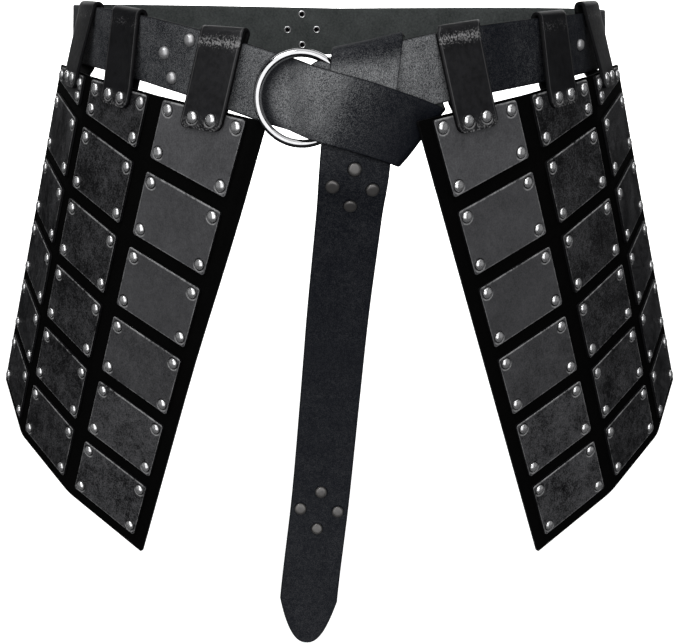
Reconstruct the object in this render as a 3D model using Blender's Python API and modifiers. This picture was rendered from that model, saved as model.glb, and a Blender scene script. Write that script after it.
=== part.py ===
"""Leather waist armour: a ring belt that carries two riveted hip panels.

Units are metres, +Z is up and -Y is the front.  The origin is the middle of
the waist opening, at half the height of the belt.  "left" is the -X side and
"right" the +X side, as seen from the front.

Three surfaces carry every shape:
  * the waist wall, a wall of tangent arcs in plan: (u along, z up, v outward);
  * the panel face, leaning and bent twice in plan: (s to the rear, t down, n out);
  * the hanging tail, which leaves the waist wall below the knot.
"""

import math

import bmesh
import bpy
from mathutils import Matrix, Vector

# ---------------------------------------------------------------- dimensions
GAP = 0.0004                 # play between pieces that lie on one another

# Belt strap
BELT_WIDTH = 0.038
BELT_THICKNESS = 0.0026
BELT_FLARE = math.radians(6.8)      # lower edge stands out further than the upper
BELT_STEP = 0.0145                  # length of one facet round the waist
ACROSS = 3                          # facets across the strap

# Half of the waist in plan, from the front centre to the back centre
WAIST_ARCS = (
    # sweep (degrees), radius (m); the last radius closes the oval
    (28.5, 0.1067),
    (36.0, 0.3210),
    (93.5, 0.0790),
    (22.0, None),
)

# Middle line of the strap that comes round the left side and goes on as the band
LEFT_LINE = (
    # u, height
    (-0.5300, -0.0013),
    (-0.3000, 0.0035),
    (-0.2000, 0.0038),
    (-0.1400, 0.0002),
    (-0.1180, -0.0024),
    (-0.0960, -0.0055),
    (-0.0750, -0.0093),
    (-0.0550, -0.0135),
    (-0.0350, -0.0183),
    (-0.0060, -0.0254),
    (0.0080, -0.0291),
    (0.0200, -0.0331),
    (0.0320, -0.0376),
    (0.0600, -0.0485),
)

# Middle line of the strap that comes round the right side to the ring
RIGHT_LINE = (
    # u, height
    (-0.0200, -0.0219),
    (0.0360, -0.0110),
    (0.0550, -0.0077),
    (0.0750, -0.0055),
    (0.1000, -0.0036),
    (0.1350, -0.0016),
    (0.1900, -0.0002),
    (0.3000, 0.0003),
    (0.5300, -0.0013),
)

# Ring
RING_RADIUS = 0.0243                # to the middle of the wire
RING_WIRE = 0.0047
RING_CENTRE_U = -0.0205
RING_CENTRE_Z = -0.0220
RING_YAW = math.radians(10.0)           # its left side stands further out
RING_STAND_OFF = 0.0029             # from the waist wall at the ring's centre
RING_FACETS = 40
RING_WIRE_FACETS = 8

# The knot: how far each lap of the strap stands off the waist wall
KNOT_LAPS = (
    # u, main, short end, return, fall, band
    (-0.060, -0.0000, 0.0000, -0.0060, 0.0070, 0.0000),
    (-0.046, -0.0038, 0.0042, -0.0070, 0.0074, 0.0000),
    (-0.034, -0.0038, 0.0044, -0.0070, 0.0075, 0.0000),
    (-0.028, -0.0040, 0.0044, -0.0072, 0.0075, -0.0004),
    (-0.022, -0.0040, 0.0044, -0.0072, 0.0075, 0.0036),
    (-0.016, -0.0040, 0.0045, -0.0072, 0.0075, 0.0086),
    (-0.009, -0.0040, 0.0047, -0.0072, 0.0077, 0.0113),
    (0.000, -0.0033, 0.0054, -0.0065, 0.0085, 0.0119),
    (0.007, -0.0026, 0.0054, -0.0058, 0.0085, 0.0119),
    (0.014, -0.0014, 0.0040, -0.0045, 0.0074, 0.0110),
    (0.021, -0.0008, 0.0032, -0.0040, 0.0058, 0.0096),
    (0.028, -0.0003, 0.0032, -0.0035, 0.0044, 0.0082),
    (0.034, 0.0000, 0.0032, -0.0032, 0.0036, 0.0068),
    (0.040, 0.0000, 0.0032, -0.0032, 0.0033, 0.0050),
    (0.046, 0.0000, 0.0032, -0.0032, 0.0033, 0.0036),
    (0.056, 0.0000, 0.0032, -0.0032, 0.0033, 0.0031),
    (0.075, 0.0000, 0.0032, -0.0032, 0.0033, 0.0031),
)
MAIN, SHORT_END, RETURN, FALL, BAND = range(1, 6)

# The folded end of the band is tucked in behind the right panel
TUCK_DEPTH = 0.0026
TUCK_U = (0.036, 0.046)             # begins and is complete along the belt
TUCK_DOWN = (0.028, 0.034)          # begins and is complete below the level

RING_FOLD_U = -0.0085               # middle of the fold that holds the ring
RING_FOLD_CUT = 0.0028
SHORT_END_U = 0.013                 # where the folded-back end stops
SHORT_END_WIDTH = 0.030             # it narrows to this
KNOT_WIDTH = 0.0364                 # of the pared strap at the ring
PARED_U = (0.020, 0.045)            # where the strap is pared down to that
BAND_START_U = -0.052               # where the left belt becomes the band
BAND_STEP = 0.006
LOWER_FOLD_U = 0.0434               # middle of the fold at the end of the band
LOWER_FOLD_ANGLE = math.radians(44.0)
LOWER_FOLD_REACH = 0.0036           # how far the strap's middle bows out past the line
UPPER_FOLD_ANGLE = math.radians(11.0)
UPPER_FOLD_MIDDLE = (0.0185, 0.0048)      # the fold over the belt's upper edge
UPPER_FOLD_REACH = 0.0032
FOLD_FACETS = 6
FOLD_SLIDE = 0.6
FALL_TRAVEL = math.radians(-100.0)   # direction of the lap that falls in front

# The hanging tail
TAIL_RUN = (
    # height (from the tip up), y and x of the strap's middle
    (-0.3715, -0.1788, -0.0225),
    (-0.3400, -0.1685, -0.0202),
    (-0.2800, -0.1510, -0.0128),
    (-0.2100, -0.1420, -0.0062),
    (-0.1500, -0.1420, -0.0009),
    (-0.0950, -0.1495, 0.0047),
    (-0.0600, -0.1570, 0.0080),
    (-0.0300, -0.1600, 0.0103),
)
TAIL_TILT = math.radians(-5.4)      # of the lines square to the tail
TAIL_LEAVES = (-0.050, -0.085)      # heights between which it leaves the waist wall
TAIL_STEP = 0.0160                  # length of one facet; half of that where it bends
TAIL_POINT = 0.0275                 # length of the pointed end
TAIL_POINT_POWER = 0.42             # of the distance from the tip, which gives the width

# Panels: three flat stretches with a bend between them; all lean outward and a little back
PANEL_LEAN = math.radians(17.7)     # outward
PANEL_TRAIL = math.radians(2.8)     # to the rear
PANEL_ORIGIN = Vector((-0.0703, -0.1400, -0.0716))   # plate face at the first rivet, s = t = 0
PANEL_FACE = 0.0045                 # from the inner face of the leather to the plates' face
PANEL_HEADING = math.radians(32.9)  # of the first stretch, from straight sideways
PANEL_BENDS = (
    # middle of the bend (s), sweep
    (0.0624, math.radians(11.9)),
    (0.1386, math.radians(16.2)),
)
BEND_LENGTH = 0.0140
BEND_FACETS = 3
PANEL_FRONT = -0.0150
PANEL_REAR = 0.2185
PANEL_BOTTOM = 0.2705
PANEL_TOP = -0.0416                 # at s = 0
PANEL_TOP_SLOPE = 0.175
BACKING_THICKNESS = 0.0020
BACKING_CORNER = 0.0015
CORNER_GIVE = {-1: 0.0044}          # a front corner is pressed in this far, here by the ring
CORNER_FOLD = -0.0075               # where along the panel that begins

# Plates: three columns and six rows on each panel
COLUMNS, ROWS = 3, 6
PLATE_WIDTH = 0.0616
PLATE_HEIGHT = 0.0419
COLUMN_PITCH = 0.0761
ROW_PITCH = 0.0510
PLATE_FRONT = -0.0064               # front edge of the first column
FIRST_ROW_BOTTOM = 0.0053           # lower edge of the first row
FIRST_ROW_MARGIN = 0.0012           # from the panel's upper edge
PLATE_THICKNESS = 0.0018
PLATE_CORNER = 0.0030

# Rivets
RIVET_RADIUS = 0.0031
RIVET_HEIGHT = 0.0017
RIVET_INSET = 0.0052                # from the edges of a plate
RIVET_SIDES = 6
RIVET_CROWN = 0.52                  # radius of the crown over that of the foot
STRAP_RIVET_RADIUS = 0.0035
STRAP_RIVET_HEIGHT = 0.0018
TAIL_GROUPS = (
    # height, half of the diagonal of a group of four
    (-0.0694, 0.0110),
    (-0.2851, 0.0123),
)
BELT_RIVETS = (
    # u, height above the strap's middle line
    (-0.1164, 0.0013),
    (-0.0952, 0.0122),
    (-0.1095, -0.0116),
    (0.1945, -0.0002),
)
BACK_GROUP = (-0.5008, 0.0005, 0.0125)     # u, height, half of the diagonal
TUBE_RADIUS = 0.0026                # of the back group's inner ends
TUBE_HEIGHT = 0.0009
RIVET_ROOT = 0.0008                 # how deep a head is let into the leather

# Hangers
HANGERS = (
    # name, place along the panel, rivets and end below the panel's edge, crest's u
    ("front", 0.0220, 0.0060, 0.0127, 0.0705),
    ("middle", 0.0995, 0.0066, 0.0128, 0.1550),
    ("rear", 0.1695, 0.0045, 0.0113, 0.2135),
)
HANGER_WIDTH = 0.0300
HANGER_THICKNESS = 0.0022
HANGER_ENDS = (
    # back from the end, taken off each edge: the rounded corners
    (0.0050, 0.0000),
    (0.0015, 0.0015),
    (0.0000, 0.0050),
)
HANGER_RIVET_SPREAD = 0.0067
HANGER_RISE = 0.0035                # of its crest above the belt's upper edge
HANGER_SLACK = {(1, "rear"): 0.0040}    # how much higher the crest of a loose one stands
HANGER_LEVEL = {(-1, "front"): 0.85}    # share by which a crest is level; the rest follow the belt
HANGER_TILT = {(-1, "front"): 0.087}    # slope of its ends against the panel's edge
HANGER_SLANT = {
    # how far the inner leg lies to the rear of the outer: at the crest, under the belt, on the panel
    (-1, "front"): (0.0, 0.0080, 0.0045),
    (-1, "middle"): (0.0, 0.0100, 0.0045),
    (-1, "rear"): (0.0, 0.0120, 0.0060),
    (1, "front"): (0.0065, 0.0065, 0.0065),
    (1, "middle"): (0.0, 0.0100, 0.0045),
    (1, "rear"): (0.0, 0.0120, 0.0060),
}
HANGER_TURN = 8                     # facets of the turn over the belt
HANGER_LEG = 4                      # facets of each leg
HANGER_ABOVE = 0.0010               # the outer tab begins this far above the panel's edge
HANGER_UNDER = 0.0016               # the inner leg passes this far below the belt
HANGER_INNER = 0.0050               # where it meets the panel, below the panel's edge

SIDES = {-1: "left", 1: "right"}


# ------------------------------------------------------------ small helpers
def clean_scene():
    """Remove every object, so that the script can be run again."""
    for obj in list(bpy.data.objects):
        bpy.data.objects.remove(obj, do_unlink=True)


def collection(name):
    """Return a new collection linked to the scene."""
    made = bpy.data.collections.new(name)
    bpy.context.scene.collection.children.link(made)
    return made


def material(name, colour, roughness, metallic=0.0):
    """Return a Principled material with a plain colour."""
    made = bpy.data.materials.new(name)
    made.use_nodes = True
    shader = made.node_tree.nodes["Principled BSDF"]
    shader.inputs["Base Color"].default_value = (*colour, 1.0)
    shader.inputs["Roughness"].default_value = roughness
    shader.inputs["Metallic"].default_value = metallic
    made.diffuse_color = (*colour, 1.0)
    return made


def interpolate(table, x, column):
    """Read a table of rows at x with a smooth curve through its rows."""
    x = min(max(x, table[0][0]), table[-1][0])
    last = len(table) - 1
    i = max(k for k in range(last) if table[k][0] <= x)

    def slope(k):
        low, high = max(0, k - 1), min(last, k + 1)
        return (table[high][column] - table[low][column]) / (table[high][0] - table[low][0])

    span = table[i + 1][0] - table[i][0]
    f = (x - table[i][0]) / span
    a, b = table[i][column], table[i + 1][column]
    return (
        a * (1 + 2 * f) * (1 - f) ** 2
        + slope(i) * span * f * (1 - f) ** 2
        + b * f * f * (3 - 2 * f)
        - slope(i + 1) * span * f * f * (1 - f)
    )


def smoothstep(x, low, high):
    f = min(1.0, max(0.0, (x - low) / (high - low)))
    return f * f * (3 - 2 * f)


# ------------------------------------------------------------- waist wall
def waist_arcs():
    """Return the arcs of half the waist, with the closing radius worked out."""
    heading, x, arcs = 0.0, 0.0, []
    for sweep, radius in WAIST_ARCS:
        end = heading + math.radians(sweep)
        if radius is None:
            radius = x / (math.sin(heading) - math.sin(end))
        arcs.append((heading, end, radius))
        x += radius * (math.sin(end) - math.sin(heading))
        heading = end
    return arcs


WAIST = waist_arcs()
HALF_WAIST = sum(radius * (end - start) for start, end, radius in WAIST)
WAIST_DEPTH = sum(r * (math.cos(a) - math.cos(b)) for a, b, r in WAIST)


def waist_plan(u):
    """Return the point and the outward normal of the waist at u, in plan."""
    side = -1.0 if u < 0 else 1.0
    left = min(abs(u), HALF_WAIST)
    x, y = 0.0, -WAIST_DEPTH / 2
    for start, end, radius in WAIST:
        sweep = min(end - start, left / radius)
        heading = start + sweep
        x += radius * (math.sin(heading) - math.sin(start))
        y += radius * (math.cos(start) - math.cos(heading))
        left -= radius * sweep
        if left <= 1e-9:
            break
    point = Vector((side * x, y, 0.0))
    normal = Vector((side * math.sin(heading), -math.cos(heading), 0.0))
    return point, normal


def waist_near(x, y):
    """Return the u of the waist point nearest to (x, y)."""
    target = Vector((x, y, 0.0))
    best, step = 0.0, HALF_WAIST / 10
    while step > 1e-5:
        tries = [best + k * step for k in range(-10, 11)]
        best = min(tries, key=lambda u: (waist_plan(u)[0] - target).length)
        step /= 5
    return best


def left_line(u):
    """Height of the middle of the strap that comes round the left side."""
    return interpolate(LEFT_LINE, u, 1)


def right_line(u):
    """Height of the middle of the strap that comes round the right side."""
    return interpolate(RIGHT_LINE, u, 1)


def wall_line(u):
    """Height on the waist wall where it is neither flared out nor in."""
    mix = smoothstep(u, -0.060, 0.0)
    return left_line(u) * (1.0 - mix) + right_line(u) * mix


def wall_point(u, z, v):
    """A point of the waist wall: along, up and outward."""
    point, normal = waist_plan(u)
    return point + normal * (v - (z - wall_line(u)) * math.tan(BELT_FLARE)) + Vector((0, 0, z))


def lap_point(u, z, stand):
    """A point of a lap that stands off the wall by stand(u, z), with u kept true to length."""
    radius = WAIST[0][2]
    wall_u = u
    for _ in range(3):
        v = stand(wall_u, z)
        wall_u = u * radius / (radius + v)
    return wall_point(wall_u, z, v)


def lap_stand(lap):
    """How far one lap of the knot stands off the wall, as a function of u and z."""

    def stand(u, z):
        v = interpolate(KNOT_LAPS, u, lap)
        if lap in (BAND, RETURN):
            v -= TUCK_DEPTH * smoothstep(u, *TUCK_U) * smoothstep(-z, *TUCK_DOWN)
        return v

    return stand


def on_the_wall(u, z):
    """The stand-off of the plain belt."""
    return 0.0


def steps(a, b, step):
    """Evenly spaced values from a to b, no further apart than step."""
    count = max(1, math.ceil(abs(b - a) / step - 1e-6))
    return [a + (b - a) * k / count for k in range(count + 1)]


# ------------------------------------------------------------ belt strap
def belt_sections(line, u_values, stand=on_the_wall, width=lambda u: BELT_WIDTH):
    """Sections square to the strap along its middle line, as rows of points."""
    rows = []
    for u in u_values:
        h = 0.0005
        slope = math.atan2(line(u + h) - line(u - h), 2 * h)
        row = []
        for k in range(ACROSS + 1):
            w = width(u) * (k / ACROSS - 0.5)
            row.append(lap_point(u - w * math.sin(slope), line(u) + w * math.cos(slope), stand))
        rows.append(row)
    return rows


def ring_fold_sections():
    """The turn of the strap's end round the ring's wire."""
    rows = []
    slope = math.atan2(right_line(RING_FOLD_U + 0.001) - right_line(RING_FOLD_U), 0.001)
    outer, inner = lap_stand(SHORT_END), lap_stand(MAIN)
    for j in range(1, FOLD_FACETS):
        turn = math.pi * j / FOLD_FACETS
        row = []
        for k in range(ACROSS + 1):
            # the upper corner is cut back where the ring leaves the fold
            cut = RING_FOLD_CUT * math.sin(turn) * k / ACROSS
            w = KNOT_WIDTH * (k / ACROSS - 0.5) - cut
            u = RING_FOLD_U - w * math.sin(slope)
            z = right_line(RING_FOLD_U) + w * math.cos(slope)
            reach = (outer(u, z) - inner(u, z)) / 2
            v = (outer(u, z) + inner(u, z)) / 2 + reach * math.cos(turn)
            row.append(wall_point(u - reach * math.sin(turn), z, v))
        rows.append(row)
    return rows


def flat_sections(low_edge, high_edge, lap):
    """Sections of a flat lap between two edges, which are lists of (u, z)."""
    rows = []
    for low, high in zip(low_edge, high_edge):
        row = []
        for k in range(ACROSS + 1):
            u = low[0] + (high[0] - low[0]) * k / ACROSS
            z = low[1] + (high[1] - low[1]) * k / ACROSS
            row.append(lap_point(u, z, lap_stand(lap)))
        rows.append(row)
    return rows


def between(start, end, count):
    """count + 1 points from start to end, as (u, z)."""
    return [tuple(a + (b - a) * k / count for a, b in zip(start, end)) for k in range(count + 1)]


class Fold:
    """A turn of the flat strap over a slanting line, from one lap to another."""

    def __init__(self, middle, travel, line, reach, laps):
        self.middle = Vector(middle)
        self.along = Vector((math.cos(line), math.sin(line)))
        self.out = Vector((self.along.y, -self.along.x))
        heading = Vector((math.cos(travel), math.sin(travel)))
        if heading.dot(self.out) < 0:
            self.out = -self.out
        self.half = BELT_WIDTH / 2 / heading.dot(self.out)
        self.reach = reach
        self.first, self.second = (lap_stand(lap) for lap in laps)
        depth = abs(self.first(*middle) - self.second(*middle)) / 2
        length = math.pi * (reach + depth) / 2
        # the strap slides along the line as it goes round, less what the leather gives
        self.creep = FOLD_SLIDE * length * heading.dot(self.along) / heading.dot(self.out)

    def edge(self, side, turned=0.0):
        """End of the fold's line on one edge of the strap; turned runs from 0 to 1."""
        return self.middle + self.along * (self.creep * turned + side * self.half)

    def sections(self):
        """Rows of points round the turn."""
        rows = []
        for j in range(1, FOLD_FACETS):
            turned = j / FOLD_FACETS
            share = (1 - math.cos(math.pi * turned)) / 2

            def stand(u, z, share=share):
                return self.first(u, z) * (1 - share) + self.second(u, z) * share

            row = []
            for k in range(ACROSS + 1):
                at = self.edge(2 * k / ACROSS - 1, turned)
                at = at + self.out * self.reach * math.sin(math.pi * turned)
                row.append(lap_point(at.x, at.y, stand))
            rows.append(row)
        return rows


def tail_point(w, z, v):
    """A point of the tail: across from its middle, up and outward."""
    x = interpolate(TAIL_RUN, z, 2) + w * math.cos(TAIL_TILT)
    height = z + w * math.sin(TAIL_TILT)
    worn = lap_point(x, height, lambda u, at: lap_stand(FALL)(u, at) + v)
    hung = Vector((x, interpolate(TAIL_RUN, z, 1) - v, height))
    return worn.lerp(hung, smoothstep(-z, -TAIL_LEAVES[0], -TAIL_LEAVES[1]))


def tail_sections():
    """Sections of the hanging tail, from the knot to its pointed end."""
    tip, top = TAIL_RUN[0][0], TAIL_RUN[-1][0]
    shoulder = tip + TAIL_POINT
    bends = TAIL_GROUPS[0][0] - TAIL_GROUPS[0][1]
    heights = steps(top, bends, TAIL_STEP / 2) + steps(bends, shoulder, TAIL_STEP)[1:]
    heights += [shoulder - TAIL_POINT * f for f in (0.25, 0.48, 0.68, 0.83, 0.93, 0.98, 1.0)]
    rows = []
    for z in heights:
        left = min(1.0, (z - tip) / TAIL_POINT)
        half = BELT_WIDTH / 2 * max(0.06, left ** TAIL_POINT_POWER)
        rows.append([tail_point(half * (2 * k / ACROSS - 1), z, 0.0) for k in range(ACROSS + 1)])
    return rows


def strap_sections():
    """Every section of the belt strap, from its folded-back end to the tail's tip."""
    knot_end = KNOT_LAPS[-1][0]

    def end_width(u):
        return KNOT_WIDTH + (SHORT_END_WIDTH - KNOT_WIDTH) * smoothstep(u, RING_FOLD_U, 0.0)

    def main_width(u):
        return KNOT_WIDTH + (BELT_WIDTH - KNOT_WIDTH) * smoothstep(u, *PARED_U)

    rows = belt_sections(
        right_line, steps(SHORT_END_U, RING_FOLD_U, 0.0065), lap_stand(SHORT_END), end_width
    )
    rows += ring_fold_sections()
    rows += belt_sections(
        right_line, steps(RING_FOLD_U, knot_end, 0.0105), lap_stand(MAIN), main_width
    )
    rows += belt_sections(right_line, steps(knot_end, HALF_WAIST, BELT_STEP)[1:])
    rows += belt_sections(left_line, steps(-HALF_WAIST, BAND_START_U, BELT_STEP)[1:-1])

    travel = math.atan((left_line(LOWER_FOLD_U) - left_line(LOWER_FOLD_U - 0.004)) / 0.004)
    lower = Fold(
        (LOWER_FOLD_U, left_line(LOWER_FOLD_U)), travel, LOWER_FOLD_ANGLE,
        LOWER_FOLD_REACH, (BAND, RETURN),
    )
    low, high = [], []
    for u in steps(BAND_START_U, LOWER_FOLD_U, BAND_STEP):
        # the sections turn from square across to the slant of the fold
        share = smoothstep(u, 0.0, LOWER_FOLD_U)
        slope = math.atan2(left_line(u + 0.0005) - left_line(u - 0.0005), 0.001)
        lean = (slope + math.pi / 2) * (1 - share) + LOWER_FOLD_ANGLE * share
        half = BELT_WIDTH / 2 / math.sin(lean - slope)
        low.append((u - half * math.cos(lean), left_line(u) - half * math.sin(lean)))
        high.append((u + half * math.cos(lean), left_line(u) + half * math.sin(lean)))
    rows += flat_sections(low, high, BAND)
    rows += lower.sections()

    # the return climbs behind the right belt to the fold over its upper edge
    climb = 2 * UPPER_FOLD_ANGLE - FALL_TRAVEL
    upper = Fold(UPPER_FOLD_MIDDLE, climb, UPPER_FOLD_ANGLE, UPPER_FOLD_REACH, (RETURN, FALL))
    rows += flat_sections(
        between(lower.edge(-1, 1), upper.edge(-1), 5),
        between(lower.edge(1, 1), upper.edge(1), 5),
        RETURN,
    )
    rows += upper.sections()

    # the fall comes down in front of the belt and becomes the tail
    top = TAIL_RUN[-1]
    across = Vector((math.cos(TAIL_TILT), math.sin(TAIL_TILT))) * (BELT_WIDTH / 2)
    foot = Vector((top[2], top[0]))
    rows += flat_sections(
        between(upper.edge(-1, 1), foot - across, 4)[:-1],
        between(upper.edge(1, 1), foot + across, 4)[:-1],
        FALL,
    )
    rows += tail_sections()
    return rows


def sheet_object(name, rows, thickness, finish, into):
    """A sheet through rows of points, made a wall with Solidify."""
    mesh = bpy.data.meshes.new(name)
    bm = bmesh.new()
    verts = [[bm.verts.new(point) for point in row] for row in rows]
    for upper, lower in zip(verts, verts[1:]):
        for k in range(len(upper) - 1):
            bm.faces.new((upper[k], upper[k + 1], lower[k + 1], lower[k]))
    bm.normal_update()
    bm.to_mesh(mesh)
    bm.free()
    mesh.materials.append(finish)
    obj = bpy.data.objects.new(name, mesh)
    into.objects.link(obj)
    wall = obj.modifiers.new("wall", "SOLIDIFY")
    wall.thickness = thickness
    wall.offset = 0.0
    wall.use_even_offset = True
    return obj


# ------------------------------------------------------------------- rivets
def join_rivets(obj, heads, cutters):
    """Join rivet heads to their setting; a head is (place, normal, radius, height)."""
    mesh = bpy.data.meshes.new(obj.name + "_rivets")
    bm = bmesh.new()
    for place, normal, radius, height in heads:
        turn = normal.to_track_quat("Z", "Y").to_matrix().to_4x4()
        middle = Matrix.Translation((0, 0, (height - RIVET_ROOT) / 2))
        bmesh.ops.create_cone(
            bm,
            cap_ends=True,
            segments=RIVET_SIDES,
            radius1=radius,
            radius2=radius * RIVET_CROWN,
            depth=height + RIVET_ROOT,
            matrix=Matrix.Translation(place) @ turn @ middle,
        )
    bm.to_mesh(mesh)
    bm.free()
    tool = bpy.data.objects.new(mesh.name, mesh)
    tool.hide_render = True
    tool.display_type = "WIRE"
    cutters.objects.link(tool)
    union = obj.modifiers.new("rivets", "BOOLEAN")
    union.operation = "UNION"
    union.solver = "EXACT"
    union.object = tool


def strap_head(point_at, u, z, inside=False):
    """A rivet head on a face of the strap given by point_at(u, z, v)."""
    h = 0.001
    face = -BELT_THICKNESS / 2 if inside else BELT_THICKNESS / 2
    place = point_at(u, z, face)
    along = point_at(u + h, z, face) - place
    up = point_at(u, z + h, face) - place
    normal = along.cross(up).normalized()
    if inside:
        return place, -normal, TUBE_RADIUS, TUBE_HEIGHT
    return place, normal, STRAP_RIVET_RADIUS, STRAP_RIVET_HEIGHT


def diamond(half):
    """The four corners of a group of rivets, across and up from its middle."""
    return [(half, 0.0), (0.0, half), (-half, 0.0), (0.0, -half)]


def belt_heads():
    """The rivet heads on the belt strap and its tail."""
    heads = []
    for middle, half in TAIL_GROUPS:
        heads += [strap_head(tail_point, w, middle + up) for w, up in diamond(half)]
    for u, w in BELT_RIVETS:
        line = left_line if u < 0 else right_line
        heads.append(strap_head(wall_point, u, line(u) + w))
    middle, height, half = BACK_GROUP
    for along, up in diamond(half):
        for inside in (False, True):
            heads.append(strap_head(wall_point, middle + along, height + up, inside))
    return heads


# --------------------------------------------------------------------- ring
def add_ring(finish, into):
    """The steel ring, held in the fold of the right belt."""
    normal = waist_plan(RING_CENTRE_U)[1]
    centre = wall_point(RING_CENTRE_U, RING_CENTRE_Z, RING_STAND_OFF)
    facing = math.atan2(normal.y, normal.x) + RING_YAW
    bpy.ops.mesh.primitive_torus_add(
        major_radius=RING_RADIUS,
        minor_radius=RING_WIRE / 2,
        major_segments=RING_FACETS,
        minor_segments=RING_WIRE_FACETS,
        location=centre,
        rotation=(0.0, math.pi / 2 - BELT_FLARE, facing),
    )
    ring = bpy.context.object
    ring.name = "ring"
    ring.data.materials.append(finish)
    for owner in ring.users_collection:
        owner.objects.unlink(ring)
    into.objects.link(ring)
    ring.data.shade_smooth()
    return ring


# ------------------------------------------------------------------- panels
def panel_frame():
    """The down, outward and rearward directions of the left panel."""
    down = Vector((
        -math.sin(PANEL_LEAN) * math.cos(PANEL_TRAIL),
        math.sin(PANEL_TRAIL),
        -math.cos(PANEL_LEAN) * math.cos(PANEL_TRAIL),
    ))
    outward = Vector((-math.cos(PANEL_LEAN), 0.0, math.sin(PANEL_LEAN)))
    rearward = outward.cross(down).normalized()
    if rearward.y < 0:
        rearward.negate()
    return down, outward, rearward


PANEL_DOWN, PANEL_OUTWARD, PANEL_REARWARD = panel_frame()


def mirrored(vector, side):
    """A left panel's vector, or its mirror image for the right panel."""
    return Vector((vector.x * -side, vector.y, vector.z))


def panel_plan(s):
    """Where a panel's face lies at s, rearward and outward of s = 0, and its heading there."""
    heading, at, rearward, outward = PANEL_HEADING, 0.0, 0.0, 0.0
    for middle, sweep in PANEL_BENDS:
        start = middle - BEND_LENGTH / 2
        if s <= start:
            break
        rearward += (start - at) * math.sin(heading)
        outward += (start - at) * math.cos(heading)
        at = min(s, start + BEND_LENGTH)
        radius = BEND_LENGTH / sweep
        end = heading + (at - start) / radius
        rearward += radius * (math.cos(heading) - math.cos(end))
        outward += radius * (math.sin(end) - math.sin(heading))
        heading = end
    rearward += (s - at) * math.sin(heading)
    outward += (s - at) * math.cos(heading)
    return rearward, outward, heading


def panel_normal(side, s):
    """The outward direction of a panel at s; side is -1 for left and 1 for right."""
    heading = panel_plan(s)[2]
    normal = PANEL_OUTWARD * math.sin(heading) - PANEL_REARWARD * math.cos(heading)
    return mirrored(normal, side)


def panel_point(side, s, t, n):
    """A point of a panel: to the rear, down and outward from its inner face."""
    rearward, outward, heading = panel_plan(s)
    point = PANEL_ORIGIN + PANEL_DOWN * t + PANEL_REARWARD * rearward + PANEL_OUTWARD * outward
    return mirrored(point, side) + panel_normal(side, s) * (n - PANEL_FACE)


def panel_top(s):
    """Where the upper edge of a panel lies at s."""
    return PANEL_TOP + PANEL_TOP_SLOPE * s


def flat_patch(stations, top, bottom, corner):
    """A flat sheet through its stations, from top(s) to bottom(s), with rounded corners."""
    bm = bmesh.new()
    last = len(stations) - 1
    bmesh.ops.create_grid(bm, x_segments=last, y_segments=1, size=0.5)
    for vert in bm.verts:
        s = stations[round((vert.co.x + 0.5) * last)]
        t = top(s) if vert.co.y > 0 else bottom(s)
        vert.co = (s, t, 0.0)
    ends = [vert for vert in bm.verts if len(vert.link_edges) == 2]
    bmesh.ops.bevel(bm, geom=ends, offset=corner, segments=2, profile=0.5, affect="VERTICES")
    return bm


def panel_sheet(name, side, bm, inside, thickness, finish, into):
    """Bend a flat sheet onto a panel and make it a wall; inside(s, t) is its inner face."""
    for vert in bm.verts:
        s, t, _ = vert.co
        vert.co = panel_point(side, s, t, inside(s, t) + thickness / 2)
    mesh = bpy.data.meshes.new(name)
    bm.normal_update()
    bm.to_mesh(mesh)
    bm.free()
    mesh.materials.append(finish)
    obj = bpy.data.objects.new(name, mesh)
    into.objects.link(obj)
    wall = obj.modifiers.new("wall", "SOLIDIFY")
    wall.thickness = thickness
    wall.offset = 0.0
    return obj


def add_backing(side, finish, into):
    """The leather that carries the plates."""
    stations = [PANEL_FRONT, CORNER_FOLD]
    for middle, _ in PANEL_BENDS:
        start, end = middle - BEND_LENGTH / 2, middle + BEND_LENGTH / 2
        stations += steps(start, end, BEND_LENGTH / BEND_FACETS)
    stations.append(PANEL_REAR)
    bm = flat_patch(stations, panel_top, lambda s: PANEL_BOTTOM, BACKING_CORNER)

    def inside(s, t):
        above = smoothstep(PANEL_BOTTOM / 2 - t, 0.0, PANEL_BOTTOM / 2)
        return -CORNER_GIVE.get(side, 0.0) * above * smoothstep(-s, -CORNER_FOLD, -PANEL_FRONT)

    name = f"backing_{SIDES[side]}"
    return panel_sheet(name, side, bm, inside, BACKING_THICKNESS, finish, into)


def add_plate(side, column, row, finish, into, cutters):
    """One plate with the four rivets that hold it."""
    front = PLATE_FRONT + COLUMN_PITCH * column
    bottom = FIRST_ROW_BOTTOM + ROW_PITCH * row

    def top(s):
        if row == 0:
            return panel_top(s) + FIRST_ROW_MARGIN
        return bottom - PLATE_HEIGHT

    bm = flat_patch((front, front + PLATE_WIDTH), top, lambda s: bottom, PLATE_CORNER)
    inside = BACKING_THICKNESS + GAP
    name = f"plate_{SIDES[side]}_{column + 1}_{row + 1}"
    plate = panel_sheet(name, side, bm, lambda s, t: inside, PLATE_THICKNESS, finish, into)
    heads = []
    for s in (front + RIVET_INSET, front + PLATE_WIDTH - RIVET_INSET):
        downs = (top(s) + RIVET_INSET, bottom - RIVET_INSET)
        if downs[1] - downs[0] < 2.5 * RIVET_RADIUS:
            # a low edge has room for one rivet only
            downs = (sum(downs) / 2,)
        for t in downs:
            place = panel_point(side, s, t, inside + PLATE_THICKNESS)
            heads.append((place, panel_normal(side, s), RIVET_RADIUS, RIVET_HEIGHT))
    join_rivets(plate, heads, cutters)
    return plate


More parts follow.
